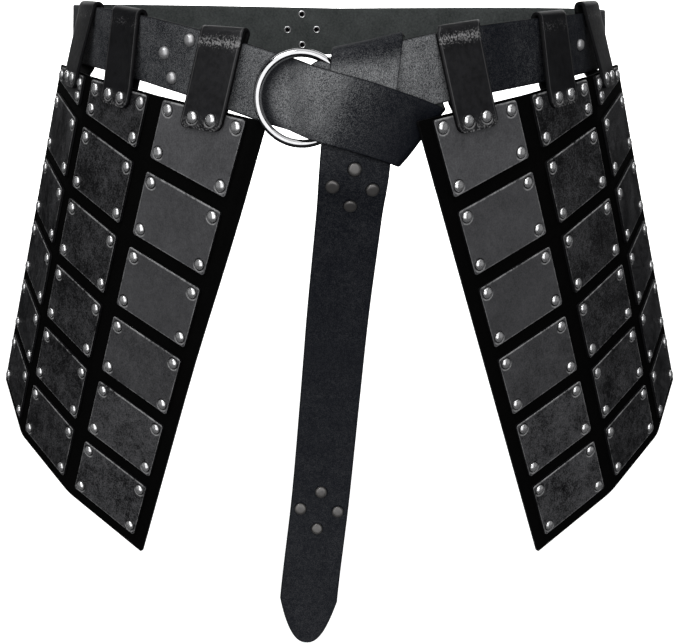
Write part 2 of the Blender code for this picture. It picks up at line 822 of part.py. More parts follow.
# ------------------------------------------------------------------ hangers
def hanger_rows(side, hanger):
    """Sections of a hanger, from its outer tab over the belt to its inner tab."""
    name, middle, _, tab, crest = hanger
    line = left_line if side < 0 else right_line
    outer_n = BACKING_THICKNESS + GAP + PLATE_THICKNESS + GAP + HANGER_THICKNESS / 2
    inner_n = -GAP - HANGER_THICKNESS / 2
    leg = BELT_THICKNESS / 2 + GAP + HANGER_THICKNESS / 2
    shares = [k / ACROSS - 0.5 for k in range(ACROSS + 1)]
    edge = panel_point(side, middle, panel_top(middle), 0.0)
    foot = waist_near(edge.x, edge.y)
    at_crest, under_belt, on_panel = HANGER_SLANT[side, name]
    tilt = HANGER_TILT.get((side, name), 0.0)

    def tab_row(down, n, taken=0.0):
        row = []
        for share in shares:
            across = (HANGER_WIDTH - 2 * taken) * share
            s = middle + across + (on_panel if n < 0 else 0.0)
            row.append(panel_point(side, s, panel_top(s) + down + tilt * across, n))
        return row

    def spots(z, rearward):
        """Where the hanger's lines cross the height z, moved rearward."""
        up = (z - edge.z) / (BELT_WIDTH / 2 - edge.z)
        u = foot + (side * crest - foot) * up + side * rearward
        return [u + side * HANGER_WIDTH * share for share in shares]

    def straight(first, last, count):
        """Rows evenly spaced between two rows, without either."""
        return [[a.lerp(b, k / count) for a, b in zip(first, last)] for k in range(1, count)]

    level = HANGER_LEVEL.get((side, name), 0.0)
    lift = HANGER_RISE + HANGER_SLACK.get((side, name), 0.0) - HANGER_THICKNESS / 2 - leg
    over = []
    for k in range(HANGER_TURN + 1):
        turn = math.pi * k / HANGER_TURN
        v, rise = leg * math.cos(turn), BELT_WIDTH / 2 + lift + leg * math.sin(turn)
        places = spots(BELT_WIDTH / 2, at_crest * k / HANGER_TURN)
        highest = max(line(u) for u in places)
        over.append([
            wall_point(u, line(u) + (highest - line(u)) * level + rise, v) for u in places
        ])
    low = spots(line(foot) - BELT_WIDTH / 2, under_belt)
    under = [wall_point(u, line(u) - BELT_WIDTH / 2 - HANGER_UNDER, -leg) for u in low]
    rows = [tab_row(tab - back, outer_n, taken) for back, taken in reversed(HANGER_ENDS)]
    rows.append(tab_row(-HANGER_ABOVE, outer_n))
    rows += straight(rows[-1], over[0], HANGER_LEG)
    rows += over
    rows += straight(over[-1], under, HANGER_LEG)
    rows += [under, tab_row(HANGER_INNER, inner_n)]
    rows += [tab_row(tab - back, inner_n, taken) for back, taken in HANGER_ENDS]
    return rows


def add_hanger(side, hanger, finish, into, cutters):
    """A looped strap that hangs a panel from the belt."""
    name, middle, drop, _, _ = hanger
    rows = hanger_rows(side, hanger)
    loop = sheet_object(f"hanger_{SIDES[side]}_{name}", rows, HANGER_THICKNESS, finish, into)
    face = BACKING_THICKNESS + GAP + PLATE_THICKNESS + GAP + HANGER_THICKNESS
    heads = []
    for across in (-HANGER_RIVET_SPREAD, HANGER_RIVET_SPREAD):
        s = middle + across
        down = drop + HANGER_TILT.get((side, name), 0.0) * across
        spot = panel_point(side, s, panel_top(s) + down, face)
        heads.append((spot, panel_normal(side, s), RIVET_RADIUS, RIVET_HEIGHT))
    join_rivets(loop, heads, cutters)
    return loop


# --------------------------------------------------------------------- main
def main():
    clean_scene()
    parts = collection("leather_waist_armour")
    cutters = collection("cutters")
    strap_leather = material("strap_leather", (0.035, 0.035, 0.037), 0.55)
    panel_leather = material("panel_leather", (0.008, 0.008, 0.009), 0.75)
    plate_leather = material("plate_leather", (0.045, 0.045, 0.047), 0.45)
    steel = material("polished_steel", (0.62, 0.62, 0.63), 0.18, 1.0)

    belt = sheet_object("belt_strap", strap_sections(), BELT_THICKNESS, strap_leather, parts)
    join_rivets(belt, belt_heads(), cutters)
    add_ring(steel, parts)
    for side in SIDES:
        add_backing(side, panel_leather, parts)
        for column in range(COLUMNS):
            for row in range(ROWS):
                add_plate(side, column, row, plate_leather, parts, cutters)
        for hanger in HANGERS:
            add_hanger(side, hanger, strap_leather, parts, cutters)


main()
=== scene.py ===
"""Leather waist armour, dressed: worn leather, polished steel and a soft studio.

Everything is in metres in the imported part's own frame: +Z up, -Y the front, the
origin in the middle of the waist opening at half the height of the belt.  "left"
is the -X side.  Each sub-assembly is a class that lays its sheets out flat, bends
them onto the waist wall or a hip panel, and dresses them; rivets, ring and tube
ends are made by Geometry Nodes.
"""

import logging
import math
from dataclasses import dataclass, field
from enum import Enum, auto
from functools import cached_property, lru_cache
from typing import Callable, Iterable, Sequence

import bmesh
import bpy
from mathutils import Matrix, Vector


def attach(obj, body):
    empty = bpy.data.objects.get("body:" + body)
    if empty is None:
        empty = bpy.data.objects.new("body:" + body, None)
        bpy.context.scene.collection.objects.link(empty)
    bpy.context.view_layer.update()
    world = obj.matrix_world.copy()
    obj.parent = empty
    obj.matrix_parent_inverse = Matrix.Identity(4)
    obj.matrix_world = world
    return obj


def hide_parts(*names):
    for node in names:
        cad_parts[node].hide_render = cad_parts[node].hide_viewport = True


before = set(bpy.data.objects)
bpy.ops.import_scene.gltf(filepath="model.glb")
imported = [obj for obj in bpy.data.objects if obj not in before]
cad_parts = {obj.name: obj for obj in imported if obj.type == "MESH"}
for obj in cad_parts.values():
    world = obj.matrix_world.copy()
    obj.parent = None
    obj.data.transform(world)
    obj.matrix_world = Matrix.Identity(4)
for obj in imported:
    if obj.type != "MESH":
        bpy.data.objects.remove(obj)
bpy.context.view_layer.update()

LOG = logging.getLogger("waist_armour")
BODY = "root"
GAP = 0.0004  # play between pieces that lie on one another

Flat = tuple[float, float]
Triple = tuple[float, float, float]
Line = Callable[[float], float]
Stand = Callable[[float, float], float]
Row = list[Vector]
Head = tuple[Vector, Vector]
Material = bpy.types.Material
Object = bpy.types.Object
Socket = bpy.types.NodeSocket


class Side(Enum):
    """The two sides of the armour, seen from the front."""

    LEFT = -1
    RIGHT = 1

    @property
    def word(self) -> str:
        """The side's plain name."""
        return self.name.lower()


# ---- curves and steps
def smoothstep(x: float, low: float, high: float) -> float:
    """Rise smoothly from 0 at low to 1 at high."""
    f = min(1.0, max(0.0, (x - low) / (high - low)))
    return f * f * (3 - 2 * f)


def interpolate(table: Sequence[Sequence[float]], x: float, column: int) -> float:
    """Read a table at x with a smooth curve through its rows.

    Args:
        table: rows whose first value rises.
        x: where to read; it is held inside the table.
        column: which value of a row is wanted.

    Returns:
        The value of the curve.
    """
    x = min(max(x, table[0][0]), table[-1][0])
    last = len(table) - 1
    i = max(k for k in range(last) if table[k][0] <= x)

    def slope(k: int) -> float:
        """Slope of the curve at row k."""
        low, high = max(0, k - 1), min(last, k + 1)
        return (table[high][column] - table[low][column]) / (table[high][0] - table[low][0])

    span = table[i + 1][0] - table[i][0]
    f = (x - table[i][0]) / span
    a, b = table[i][column], table[i + 1][column]
    return (
        a * (1 + 2 * f) * (1 - f) ** 2
        + slope(i) * span * f * (1 - f) ** 2
        + b * f * f * (3 - 2 * f)
        - slope(i + 1) * span * f * f * (1 - f)
    )


def steps(a: float, b: float, step: float) -> list[float]:
    """Evenly spaced values from a to b, no further apart than step."""
    count = max(1, math.ceil(abs(b - a) / step - 1e-6))
    return [a + (b - a) * k / count for k in range(count + 1)]


def slope_at(line: Line, u: float, behind: float = 0.0005, ahead: float = 0.0005) -> float:
    """Angle at which a line rises from a little behind u to a little ahead of it."""
    return math.atan2(line(u + ahead) - line(u - behind), behind + ahead)


def running(points: Row) -> list[float]:
    """Measure the way along a row of points.

    Args:
        points: the row.

    Returns:
        The way from the first point to each of them.
    """
    lengths = [0.0]
    for a, b in zip(points, points[1:]):
        lengths.append(lengths[-1] + (b - a).length)
    return lengths


def round_corner(radius: float, facets: int) -> list[Flat]:
    """Points of a rounded corner, each as its ways back from the end and in from the edge."""
    turns = [math.pi / 2 * k / facets for k in range(facets + 1)]
    return [(radius * (1 - math.cos(turn)), radius * (1 - math.sin(turn))) for turn in turns]


def nearest(spots: Sequence[Flat], place: Vector) -> Flat:
    """The spot nearest to a place; one that is far off where there are none."""
    return min(spots, key=lambda spot: (Vector(spot) - place).length_squared, default=(9.0, 9.0))


def diamond(half: float) -> list[Flat]:
    """The four corners of a group of rivets, across and up from its middle."""
    return [(half, 0.0), (0.0, half), (-half, 0.0), (0.0, -half)]


# ---- material trees
class Shade:
    """A value socket of a tree, with arithmetic that adds its Math nodes."""

    def __init__(self, tree: "Tree", socket: Socket) -> None:
        """Wrap a socket of a tree."""
        self.tree = tree
        self.socket = socket

    def math(self, operation: str, *others: "Shade | float") -> "Shade":
        """Add one Math node that takes this value first.

        Args:
            operation: the Math node's operation.
            others: its further values.

        Returns:
            The node's result.
        """
        values = dict(enumerate((self, *others)))
        node = self.tree.add("ShaderNodeMath", {"operation": operation}, values)
        return Shade(self.tree, node.outputs[0])

    def _first(self, value: float, operation: str) -> "Shade":
        """Put a plain number before this value, for the reflected operators."""
        node = self.tree.add("ShaderNodeMath", {"operation": operation}, {0: value, 1: self})
        return Shade(self.tree, node.outputs[0])

    def __add__(self, other: "Shade | float") -> "Shade":
        """Sum."""
        return self.math("ADD", other)

    __radd__ = __add__

    def __sub__(self, other: "Shade | float") -> "Shade":
        """Difference."""
        return self.math("SUBTRACT", other)

    def __rsub__(self, other: float) -> "Shade":
        """A number less this value."""
        return self._first(other, "SUBTRACT")

    def __mul__(self, other: "Shade | float") -> "Shade":
        """Product."""
        return self.math("MULTIPLY", other)

    __rmul__ = __mul__

    def __truediv__(self, other: "Shade | float") -> "Shade":
        """Quotient."""
        return self.math("DIVIDE", other)

    def __rtruediv__(self, other: float) -> "Shade":
        """A number over this value."""
        return self._first(other, "DIVIDE")

    def __pow__(self, other: "Shade | float") -> "Shade":
        """Power."""
        return self.math("POWER", other)

    def at_least(self, other: "Shade | float") -> "Shade":
        """The larger of two values."""
        return self.math("MAXIMUM", other)

    def at_most(self, other: "Shade | float") -> "Shade":
        """The smaller of two values."""
        return self.math("MINIMUM", other)

    def held(self) -> "Shade":
        """The value held between 0 and 1."""
        return self.at_least(0.0).at_most(1.0)

    def size(self) -> "Shade":
        """The value without its sign."""
        return self.math("ABSOLUTE")

    def rise(self, low: float, high: float) -> "Shade":
        """Rise smoothly between two values.

        Args:
            low: where the result is 0.
            high: where it is 1; it may be the lower one.

        Returns:
            The value from 0 to 1.
        """
        flipped = low > high
        ends = (high, low) if flipped else (low, high)
        node = self.tree.add(
            "ShaderNodeMapRange",
            {"interpolation_type": "SMOOTHSTEP"},
            {"Value": self, "From Min": ends[0], "From Max": ends[1]},
        )
        result = Shade(self.tree, node.outputs["Result"])
        return 1.0 - result if flipped else result


class Tree:
    """A node tree under construction."""

    tree: bpy.types.NodeTree

    def add(self, kind: str, settings: dict | None = None,
            inputs: dict | None = None) -> bpy.types.Node:
        """Add a node.

        Args:
            kind: the node's type.
            settings: its properties.
            inputs: values or links for its sockets, by name or index.

        Returns:
            The node.
        """
        node = self.tree.nodes.new(kind)
        for name, value in (settings or {}).items():
            setattr(node, name, value)
        for name, value in (inputs or {}).items():
            self.feed(node.inputs[name], value)
        return node

    def feed(self, socket: Socket, value: object) -> None:
        """Give an input its value.

        Args:
            socket: the input.
            value: a Shade or a socket, which is linked to it, or a plain value.
        """
        if isinstance(value, Shade):
            value = value.socket
        if isinstance(value, Socket):
            self.tree.links.new(value, socket)
        else:
            socket.default_value = value

    def shade(self, node: bpy.types.Node, output: str | int = 0) -> Shade:
        """An output of a node as a value."""
        return Shade(self, node.outputs[output])

    def split(self, vector: Socket) -> list[Shade]:
        """The three values of a vector."""
        node = self.add("ShaderNodeSeparateXYZ", None, {"Vector": vector})
        return [self.shade(node, axis) for axis in "XYZ"]


class FinishTree(Tree):
    """The node tree of one material, ending in a Principled surface."""

    def __init__(self, name: str) -> None:
        """Make a material with a plain surface.

        Args:
            name: the material's name.
        """
        self.material = bpy.data.materials.new(name)
        self.material.use_nodes = True
        self.tree = self.material.node_tree
        self.surface = self.tree.nodes["Principled BSDF"]

    @cached_property
    def place(self) -> Socket:
        """Object coordinates."""
        return self.add("ShaderNodeTexCoord").outputs["Object"]

    def stretched(self, scale: Triple) -> Socket:
        """Object coordinates scaled along the axes."""
        inputs = {"Vector": self.place, "Scale": scale}
        return self.add("ShaderNodeMapping", None, inputs).outputs[0]

    def map_of(self, name: str) -> list[Shade]:
        """The two values of one of the piece's own UV maps."""
        return self.split(self.add("ShaderNodeUVMap", {"uv_map": name}).outputs["UV"])[:2]

    def attribute(self, name: str) -> Shade:
        """A value stored on the piece's own mesh."""
        return self.shade(self.add("ShaderNodeAttribute", {"attribute_name": name}), "Fac")

    def noise(self, scale: float, detail: float, roughness: float, vector: object = None) -> Shade:
        """Soft noise between about 0.3 and 0.7.

        Args:
            scale: cells for each metre.
            detail: octaves.
            roughness: weight of the finer octaves.
            vector: coordinates; Object coordinates if none.

        Returns:
            The noise.
        """
        inputs = {"Vector": vector or self.place, "Scale": scale}
        inputs |= {"Detail": detail, "Roughness": roughness}
        return self.shade(self.add("ShaderNodeTexNoise", None, inputs), "Fac")

    def cells(self, scale: float, smooth: float) -> Shade:
        """Random cells with soft borders.

        Args:
            scale: cells for each metre.
            smooth: how soft the borders are.

        Returns:
            Distance inside a cell.
        """
        inputs = {"Vector": self.place, "Scale": scale, "Smoothness": smooth}
        node = self.add("ShaderNodeTexVoronoi", {"feature": "SMOOTH_F1"}, inputs)
        return self.shade(node, "Distance")

    def between(self, share: Shade | float, first: object, second: object) -> Socket:
        """Mix two colours.

        Args:
            share: how much of the second.
            first: a colour or a colour socket.
            second: the same.

        Returns:
            The mixed colour's socket.
        """
        node = self.add("ShaderNodeMix", {"data_type": "RGBA"})
        self.feed(node.inputs["Factor"], share)
        for socket, value in ((node.inputs[6], first), (node.inputs[7], second)):
            self.feed(socket, (*value, 1.0) if isinstance(value, tuple) else value)
        return node.outputs[2]

    def bump(self, height: Shade, depth: float, below: object = None,
             strength: float = 1.0) -> Socket:
        """A Bump node.

        Args:
            height: the relief, 0 to 1.
            depth: how deep 1 is, in metres.
            below: the normal of another Bump that this one is added to.
            strength: how much of it shows.

        Returns:
            Its normal.
        """
        inputs = {"Height": height, "Distance": depth, "Strength": strength}
        if below is not None:
            inputs["Normal"] = below
        return self.add("ShaderNodeBump", None, inputs).outputs["Normal"]

    def finish(self, **inputs: object) -> Material:
        """Feed the surface.

        Args:
            inputs: its inputs by name, with _ for a space; colours have three numbers.

        Returns:
            The material.
        """
        for name, value in inputs.items():
            socket = self.surface.inputs[name.replace("_", " ")]
            self.feed(socket, (*value, 1.0) if isinstance(value, tuple) else value)
        return self.material


# ---- finishes
@dataclass(frozen=True)
class RivetSeat:
    """The dish that a set rivet presses into the leather round it, with its painted shadow and
    highlight.
    """

    foot: float = 0.0034
    dish: float = 0.0047
    depth: float = 0.0004
    shadow_band: Flat = (0.0003, 0.0008)  # past the foot, where the painted shadow begins to fade and ends
    lit_from: Flat = (0.0005, 0.0009)
    lit_to: Flat = (0.0012, 0.0019)

    def radius(self, tree: FinishTree) -> Shade:
        """Distance from the nearest rivet's middle."""
        across, up = tree.map_of("seat")
        return (across * across + up * up) ** 0.5

    def shadow(self, tree: FinishTree) -> Shade:
        """1 in the painted shadow against the head, 0 past it."""
        return self.radius(tree).rise(self.foot + self.shadow_band[1], self.foot + self.shadow_band[0])

    def crescent(self, tree: FinishTree) -> Shade:
        """Find the lower wall of the dish, which catches the light.

        Args:
            tree: the finish's tree.

        Returns:
            1 on it, 0 elsewhere.
        """
        past = self.radius(tree) - self.foot
        _, down = tree.map_of("seat")
        ring = past.rise(*self.lit_from) * past.rise(self.lit_to[1], self.lit_to[0])
        return ring * (down / self.radius(tree).at_least(0.0001)).rise(0.1, 0.85)

    def relief(self, tree: FinishTree) -> Shade:
        """0 in the dish and 1 past its rim."""
        return self.radius(tree).rise(self.foot, self.dish)


@dataclass(frozen=True)
class PebbledLeather:
    """Worn pebbled leather; its lightness follows the tone stored along it, partly painted light.
    """

    name: str = "strap_leather"
    dark: Triple = (0.0030, 0.0042, 0.0082)
    light: Triple = (0.415, 0.423, 0.432)
    pebble: float = 1400.0
    seat: RivetSeat = RivetSeat()
    ring: Triple = (-0.0205, -0.0220, 0.0220)  # x, z and inner radius
    grime_inside: Flat = (-0.0075, -0.0005)  # from the ring's inner radius: where the painted shadow sets in
    grime_outside: Flat = (0.0045, 0.0065)  # and where it ends
    grime_across: Flat = (-0.004, 0.014)  # from the ring's middle: it is on the left only

    def _ring_shadow(self, tree: FinishTree) -> Shade:
        """Find the painted shadow of the ring: a dark arc on the strap along its left inner edge.

        Args:
            tree: the finish's tree.

        Returns:
            1 in it, 0 elsewhere.
        """
        x, y, z = tree.split(tree.place)
        across, up = x - self.ring[0], z - self.ring[1]
        past = (across * across + up * up) ** 0.5 - self.ring[2]
        arc = past.rise(*self.grime_inside) * past.rise(*reversed(self.grime_outside))
        return arc * across.rise(*reversed(self.grime_across)) * y.math("LESS_THAN", 0.0)

    def material(self) -> Material:
        """Build the finish.

        Returns:
            The material.
        """
        tree = FinishTree(self.name)
        tone = tree.attribute("tone")
        cloud = tree.noise(70.0, 4.0, 0.6)
        speck = tree.noise(self.pebble * 1.3, 2.0, 0.6)
        fibre = tree.noise(400.0, 4.0, 0.65)
        grain = tree.cells(self.pebble, 0.35)
        wrinkle = (tree.noise(150.0, 3.0, 0.6) - 0.5).size().rise(0.0, 0.035)
        # worn rises with the tone, which is partly painted light; the mottling is weaker where it
        # is high
        worn = tone.rise(0.04, 0.24)
        uneven = (cloud - 0.5) * 1.2 + (fibre - 0.5) * (2.4 - worn * 1.8) + (speck - 0.5) * 5.5
        uneven = uneven * (2.2 - worn * 1.2) + 1.0
        lightness = (tone * uneven * (wrinkle * 0.28 + 0.76)).held()
        colour = tree.between(lightness, self.dark, self.light)
        edge = tree.attribute("rim").rise(0.0014, 0.0004)
        # darker edges, and the ring's painted shadow
        colour = tree.between((edge * 0.55).at_least(self._ring_shadow(tree) * 0.85), colour, self.dark)
        colour = tree.between(self.seat.shadow(tree) * 0.9, colour, (0.002, 0.002, 0.002))
        crease = tree.noise(24.0, 5.0, 0.7)
        roughness = 0.6 - tone * 0.2 + (fibre - 0.5) * 0.25
        fine = tree.bump(grain, 0.00022, strength=0.7)
        creased = tree.bump(fibre * 0.6 + crease * 0.8, 0.00035, fine, 0.5)
        normal = tree.bump(self.seat.relief(tree), self.seat.depth, creased)
        return tree.finish(
            Base_Color=colour, Roughness=roughness, Normal=normal, Specular_IOR_Level=0.15
        )


@dataclass(frozen=True)
class PlateLeather:
    """Charcoal plate leather: smooth, mottled, lighter at scuffed edges and painted highlights."""

    name: str = "plate_leather"
    dark: Triple = (0.0030, 0.0030, 0.0035)
    light: Triple = (0.247, 0.247, 0.260)
    scuff: Triple = (0.50, 0.50, 0.505)
    seat: RivetSeat = RivetSeat()

    def material(self) -> Material:
        """Build the finish.

        Returns:
            The material.
        """
        tree = FinishTree(self.name)
        tone = tree.attribute("tone")
        cloud = tree.noise(42.0, 5.0, 0.62)
        fibre = tree.noise(260.0, 4.0, 0.6)
        speck = tree.noise(1000.0, 2.0, 0.6)
        wear = (cloud - 0.5) * 1.6 + (fibre - 0.5) * 1.3 + (speck - 0.5) * 2.4
        smooth = tone.rise(0.12, 0.26)
        lightness = (tone * (wear * (3.3 - smooth * 2.8) + 1.0)).held()
        colour = tree.between(lightness, self.dark, self.light)
        side, down = tree.map_of("rim")
        edge = down.size()
        # painted highlight along the upper edges, for light from above; all edges are also scuffed
        upper = edge.rise(0.0014, 0.0006) * down.math("GREATER_THAN", 0.0)
        near = side.at_most(edge).rise(0.0008, 0.0003) * 0.45
        scuff_and_highlight = upper.at_least(near) * (fibre * 2.6 + cloud * 2.0 + speck * 1.6 - 2.5).held()
        # painted highlight on the lit lower walls of the rivet dishes
        lit = self.seat.crescent(tree) * (speck * 1.6 - 0.1).held()
        colour = tree.between(scuff_and_highlight.at_least(lit) * 0.85, colour, self.scuff)
        colour = tree.between(self.seat.shadow(tree), colour, (0.001, 0.001, 0.001))
        roughness = 0.5 + (fibre - 0.5) * 0.3 + (cloud - 0.5) * 0.3 - smooth * 0.06
        grain = tree.cells(1500.0, 0.3)
        fine = tree.bump(grain * 0.5 + fibre, 0.00016, strength=0.5)
        waves = tree.bump(cloud, 0.0009, fine, 0.35)
        normal = tree.bump(self.seat.relief(tree), self.seat.depth, waves)
        return tree.finish(
            Base_Color=colour, Roughness=roughness, Normal=normal, Specular_IOR_Level=0.2
        )


@dataclass(frozen=True)
class HangerLeather:
    """Satin black leather that crackles grey, with a painted highlight, where it is bent over the
    belt.
    """

    name: str = "hanger_leather"
    dark: Triple = (0.002, 0.002, 0.0025)
    light: Triple = (0.018, 0.018, 0.020)
    # the grey of the crackle, the dust, the painted highlights and the pressed lines
    crackle: Triple = (0.40, 0.395, 0.40)
    seat: RivetSeat = RivetSeat()

    def material(self) -> Material:
        """Build the finish.

        Returns:
            The material.
        """
        tree = FinishTree(self.name)
        bend = tree.attribute("bend")
        tab = tree.attribute("tab")
        cloud = tree.noise(60.0, 4.0, 0.6)
        fibre = tree.noise(300.0, 4.0, 0.6)
        speck = tree.noise(900.0, 2.0, 0.6)
        share = (cloud + fibre - 0.5) * tree.attribute("shade")
        colour = tree.between(share.held(), self.dark, self.light)
        # crackle with a painted highlight where the hanger bends over the belt
        cracked = (speck * 7.0 + cloud * 1.5 + bend * 1.6 - 5.15).held() * bend
        # dust on the tab, and a painted highlight on the lower walls of the rivet dishes
        dust_and_highlight = tab * (speck * 5.0 + cloud - 2.9).held()
        dust_and_highlight = dust_and_highlight.at_least(self.seat.crescent(tree) * speck * 1.6)
        colour = tree.between(cracked.at_least(dust_and_highlight) * 0.8, colour, self.crackle)
        line = tree.attribute("rim")
        pressed = (line - 0.0014).size().rise(0.0005, 0.0001)
        colour = tree.between(pressed * 0.15, colour, self.crackle)
        colour = tree.between(self.seat.shadow(tree) * 0.9, colour, (0.002, 0.002, 0.002))
        roughness = 0.46 + (fibre - 0.5) * 0.3 - bend * 0.08
        fine = tree.bump(fibre + tree.cells(1300.0, 0.3) * 0.5, 0.00014, strength=0.45)
        wrinkles = tree.bump(speck * bend, 0.00035, fine, 0.8)
        lined = tree.bump(line.rise(0.0008, 0.0014) - pressed * 0.5, 0.0002, wrinkles, 0.8)
        normal = tree.bump(self.seat.relief(tree), self.seat.depth, lined)
        return tree.finish(
            Base_Color=colour, Roughness=roughness, Normal=normal, Specular_IOR_Level=0.2
        )


@dataclass(frozen=True)
class PlainLeather:
    """A matt leather surface: the backings, the flesh sides and the dyed cut edges."""

    name: str
    dark: Triple
    light: Triple
    roughness: float = 0.8
    nap: float = 0.00025
    grain: float = 700.0
    sheen: float = 0.1

    def material(self) -> Material:
        """Build the finish.

        Returns:
            The material.
        """
        tree = FinishTree(self.name)
        cloud = tree.noise(50.0, 4.0, 0.6)
        fibre = tree.noise(self.grain, 5.0, 0.7)
        share = ((cloud - 0.5) * 0.9 + (fibre - 0.5) * 1.6 + 0.45).held()
        colour = tree.between(share, self.dark, self.light)
        roughness = (fibre - 0.5) * 0.3 + self.roughness
        return tree.finish(
            Base_Color=colour,
            Roughness=roughness.at_most(1.0),
            Normal=tree.bump(fibre, self.nap, strength=0.6),
            Specular_IOR_Level=self.sheen,
        )


@dataclass(frozen=True)
class Metal:
    """Polished or gunmetal steel with fine scratches and a little tarnish."""

    name: str
    colour: Triple = (0.80, 0.80, 0.81)
    tarnish: Triple = (0.30, 0.30, 0.31)
    roughness: float = 0.12
    stained: float = 0.35
    relief: float = 0.3
    metallic: float = 1.0

    def material(self) -> Material:
        """Build the finish.

        Returns:
            The material.
        """
        tree = FinishTree(self.name)
        cloud = tree.noise(180.0, 4.0, 0.6)
        scratch = tree.noise(1.0, 3.0, 0.6, tree.stretched((2600.0, 300.0, 900.0)))
        stain = (cloud * 1.8 + scratch * 0.5 - 1.1).held()
        return tree.finish(
            Base_Color=tree.between(stain * self.stained, self.colour, self.tarnish),
            Roughness=stain * 0.15 + scratch * 0.08 + (self.roughness - 0.04),
            Metallic=self.metallic,
            Normal=tree.bump(scratch * 0.3 + cloud, 0.00005, strength=self.relief),
        )


class Finishes:
    """Every finish of the armour, made once."""

    def __init__(self) -> None:
        """Build the materials."""
        self.strap = PebbledLeather().material()
        self.plate = PlateLeather().material()
        self.hanger = HangerLeather().material()
        self.backing = PlainLeather(
            "panel_leather", (0.001, 0.001, 0.001), (0.003, 0.003, 0.003), sheen=0.03
        ).material()
        self.flesh = PlainLeather(
            "flesh_side", (0.045, 0.050, 0.049), (0.140, 0.152, 0.150), 0.85, 0.0004, 620.0
        ).material()
        self.dyed = PlainLeather(
            "dyed_flesh_side", (0.004, 0.004, 0.004), (0.014, 0.014, 0.014), 0.9
        ).material()
        self.edge = PlainLeather(
            "cut_edge", (0.002, 0.002, 0.0025), (0.010, 0.010, 0.011), 0.6, 0.0002
        ).material()
        self.steel = Metal(
            "polished_steel", (0.60, 0.60, 0.61), (0.14, 0.14, 0.145), roughness=0.05, relief=0.1
        ).material()
        self.rivet = Metal(
            "rivet_nickel", (0.80, 0.80, 0.81), (0.10, 0.10, 0.105), 0.22, 0.95, metallic=0.8
        ).material()
        self.satin = Metal(
            "rivet_satin", (0.50, 0.50, 0.51), (0.14, 0.14, 0.145), 0.40, 0.7, metallic=0.65
        ).material()
        self.gunmetal = Metal(
            "rivet_gunmetal", (0.135, 0.130, 0.128), (0.04, 0.04, 0.04), 0.32, 0.9, metallic=0.6
        ).material()


# ---- the surfaces
@dataclass(frozen=True)
class WaistWall:
    """The wall of tangent arcs that the belt lies on: u along, z up, v outward."""

    arcs: tuple = ((28.5, 0.1067), (36.0, 0.3210), (93.5, 0.0790), (22.0, None))
    flare: float = math.radians(6.8)
    left_heights: tuple = (
        # u, height of the left strap's middle
        (-0.5300, -0.0013), (-0.3000, 0.0035), (-0.2000, 0.0038), (-0.1400, 0.0002),
        (-0.1180, -0.0024), (-0.0960, -0.0055), (-0.0750, -0.0093), (-0.0550, -0.0135),
        (-0.0350, -0.0183), (-0.0060, -0.0254), (0.0080, -0.0291), (0.0200, -0.0331),
        (0.0320, -0.0376), (0.0600, -0.0485),
    )
    right_heights: tuple = (
        # u, height of the right strap's middle
        (-0.0200, -0.0219), (0.0360, -0.0110), (0.0550, -0.0077), (0.0750, -0.0055),
        (0.1000, -0.0036), (0.1350, -0.0016), (0.1900, -0.0002), (0.3000, 0.0003),
        (0.5300, -0.0013),
    )

    @cached_property
    def turns(self) -> list[Triple]:
        """Work out the arcs of half the waist.

        Returns:
            Start heading, end heading and radius of each.
        """
        heading, x, turns = 0.0, 0.0, []
        for sweep, radius in self.arcs:
            end = heading + math.radians(sweep)
            if radius is None:
                radius = x / (math.sin(heading) - math.sin(end))
            turns.append((heading, end, radius))
            x += radius * (math.sin(end) - math.sin(heading))
            heading = end
        return turns

    @cached_property
    def half(self) -> float:
        """Half of the way round."""
        return sum(radius * (end - start) for start, end, radius in self.turns)

    @cached_property
    def depth(self) -> float:
        """Front to back."""
        return sum(r * (math.cos(a) - math.cos(b)) for a, b, r in self.turns)

    def plan(self, u: float) -> tuple[Vector, Vector]:
        """Follow the waist in plan.

        Args:
            u: the way along it from the middle of the front.

        Returns:
            The point there and the outward direction.
        """
        side = -1.0 if u < 0 else 1.0
        left = min(abs(u), self.half)
        x, y, heading = 0.0, -self.depth / 2, 0.0
        for start, end, radius in self.turns:
            sweep = min(end - start, left / radius)
            heading = start + sweep
            x += radius * (math.sin(heading) - math.sin(start))
            y += radius * (math.cos(start) - math.cos(heading))
            left -= radius * sweep
            if left <= 1e-9:
                break
        outward = Vector((side * math.sin(heading), -math.cos(heading), 0.0))
        return Vector((side * x, y, 0.0)), outward

    def near(self, x: float, y: float) -> float:
        """Find a place on the waist.

        Args:
            x: of a point in plan.
            y: of the same point.

        Returns:
            The u of the waist's point that is nearest to it.
        """
        target = Vector((x, y, 0.0))
        best, step = 0.0, self.half / 10
        while step > 1e-5:
            tries = [best + k * step for k in range(-10, 11)]
            best = min(tries, key=lambda u: (self.plan(u)[0] - target).length)
            step /= 5
        return best

    def left(self, u: float) -> float:
        """Height of the middle of the strap that comes round the left side."""
        return interpolate(self.left_heights, u, 1)

    def right(self, u: float) -> float:
        """Height of the middle of the strap that comes round the right side."""
        return interpolate(self.right_heights, u, 1)

    def line(self, side: Side) -> Line:
        """The strap's middle line on one side."""
        return self.left if side is Side.LEFT else self.right

    def point(self, u: float, z: float, v: float) -> Vector:
        """Place a point on the leaning wall.

        Args:
            u: the way along the waist.
            z: height.
            v: how far it stands off the wall.

        Returns:
            The point.
        """
        point, normal = self.plan(u)
        mix = smoothstep(u, -0.060, 0.0)
        line = self.left(u) * (1.0 - mix) + self.right(u) * mix
        return point + normal * (v - (z - line) * math.tan(self.flare)) + Vector((0, 0, z))

    def lap(self, u: float, z: float, stand: Stand) -> Vector:
        """Place a point of a lap, so that lengths along it stay true.

        Args:
            u: the way along the lap.
            z: height.
            stand: how far the lap stands off the wall at a place.

        Returns:
            The point.
        """
        radius = self.turns[0][2]
        wall_u, v = u, 0.0
        for _ in range(3):
            v = stand(wall_u, z)
            wall_u = u * radius / (radius + v)
        return self.point(wall_u, z, v)


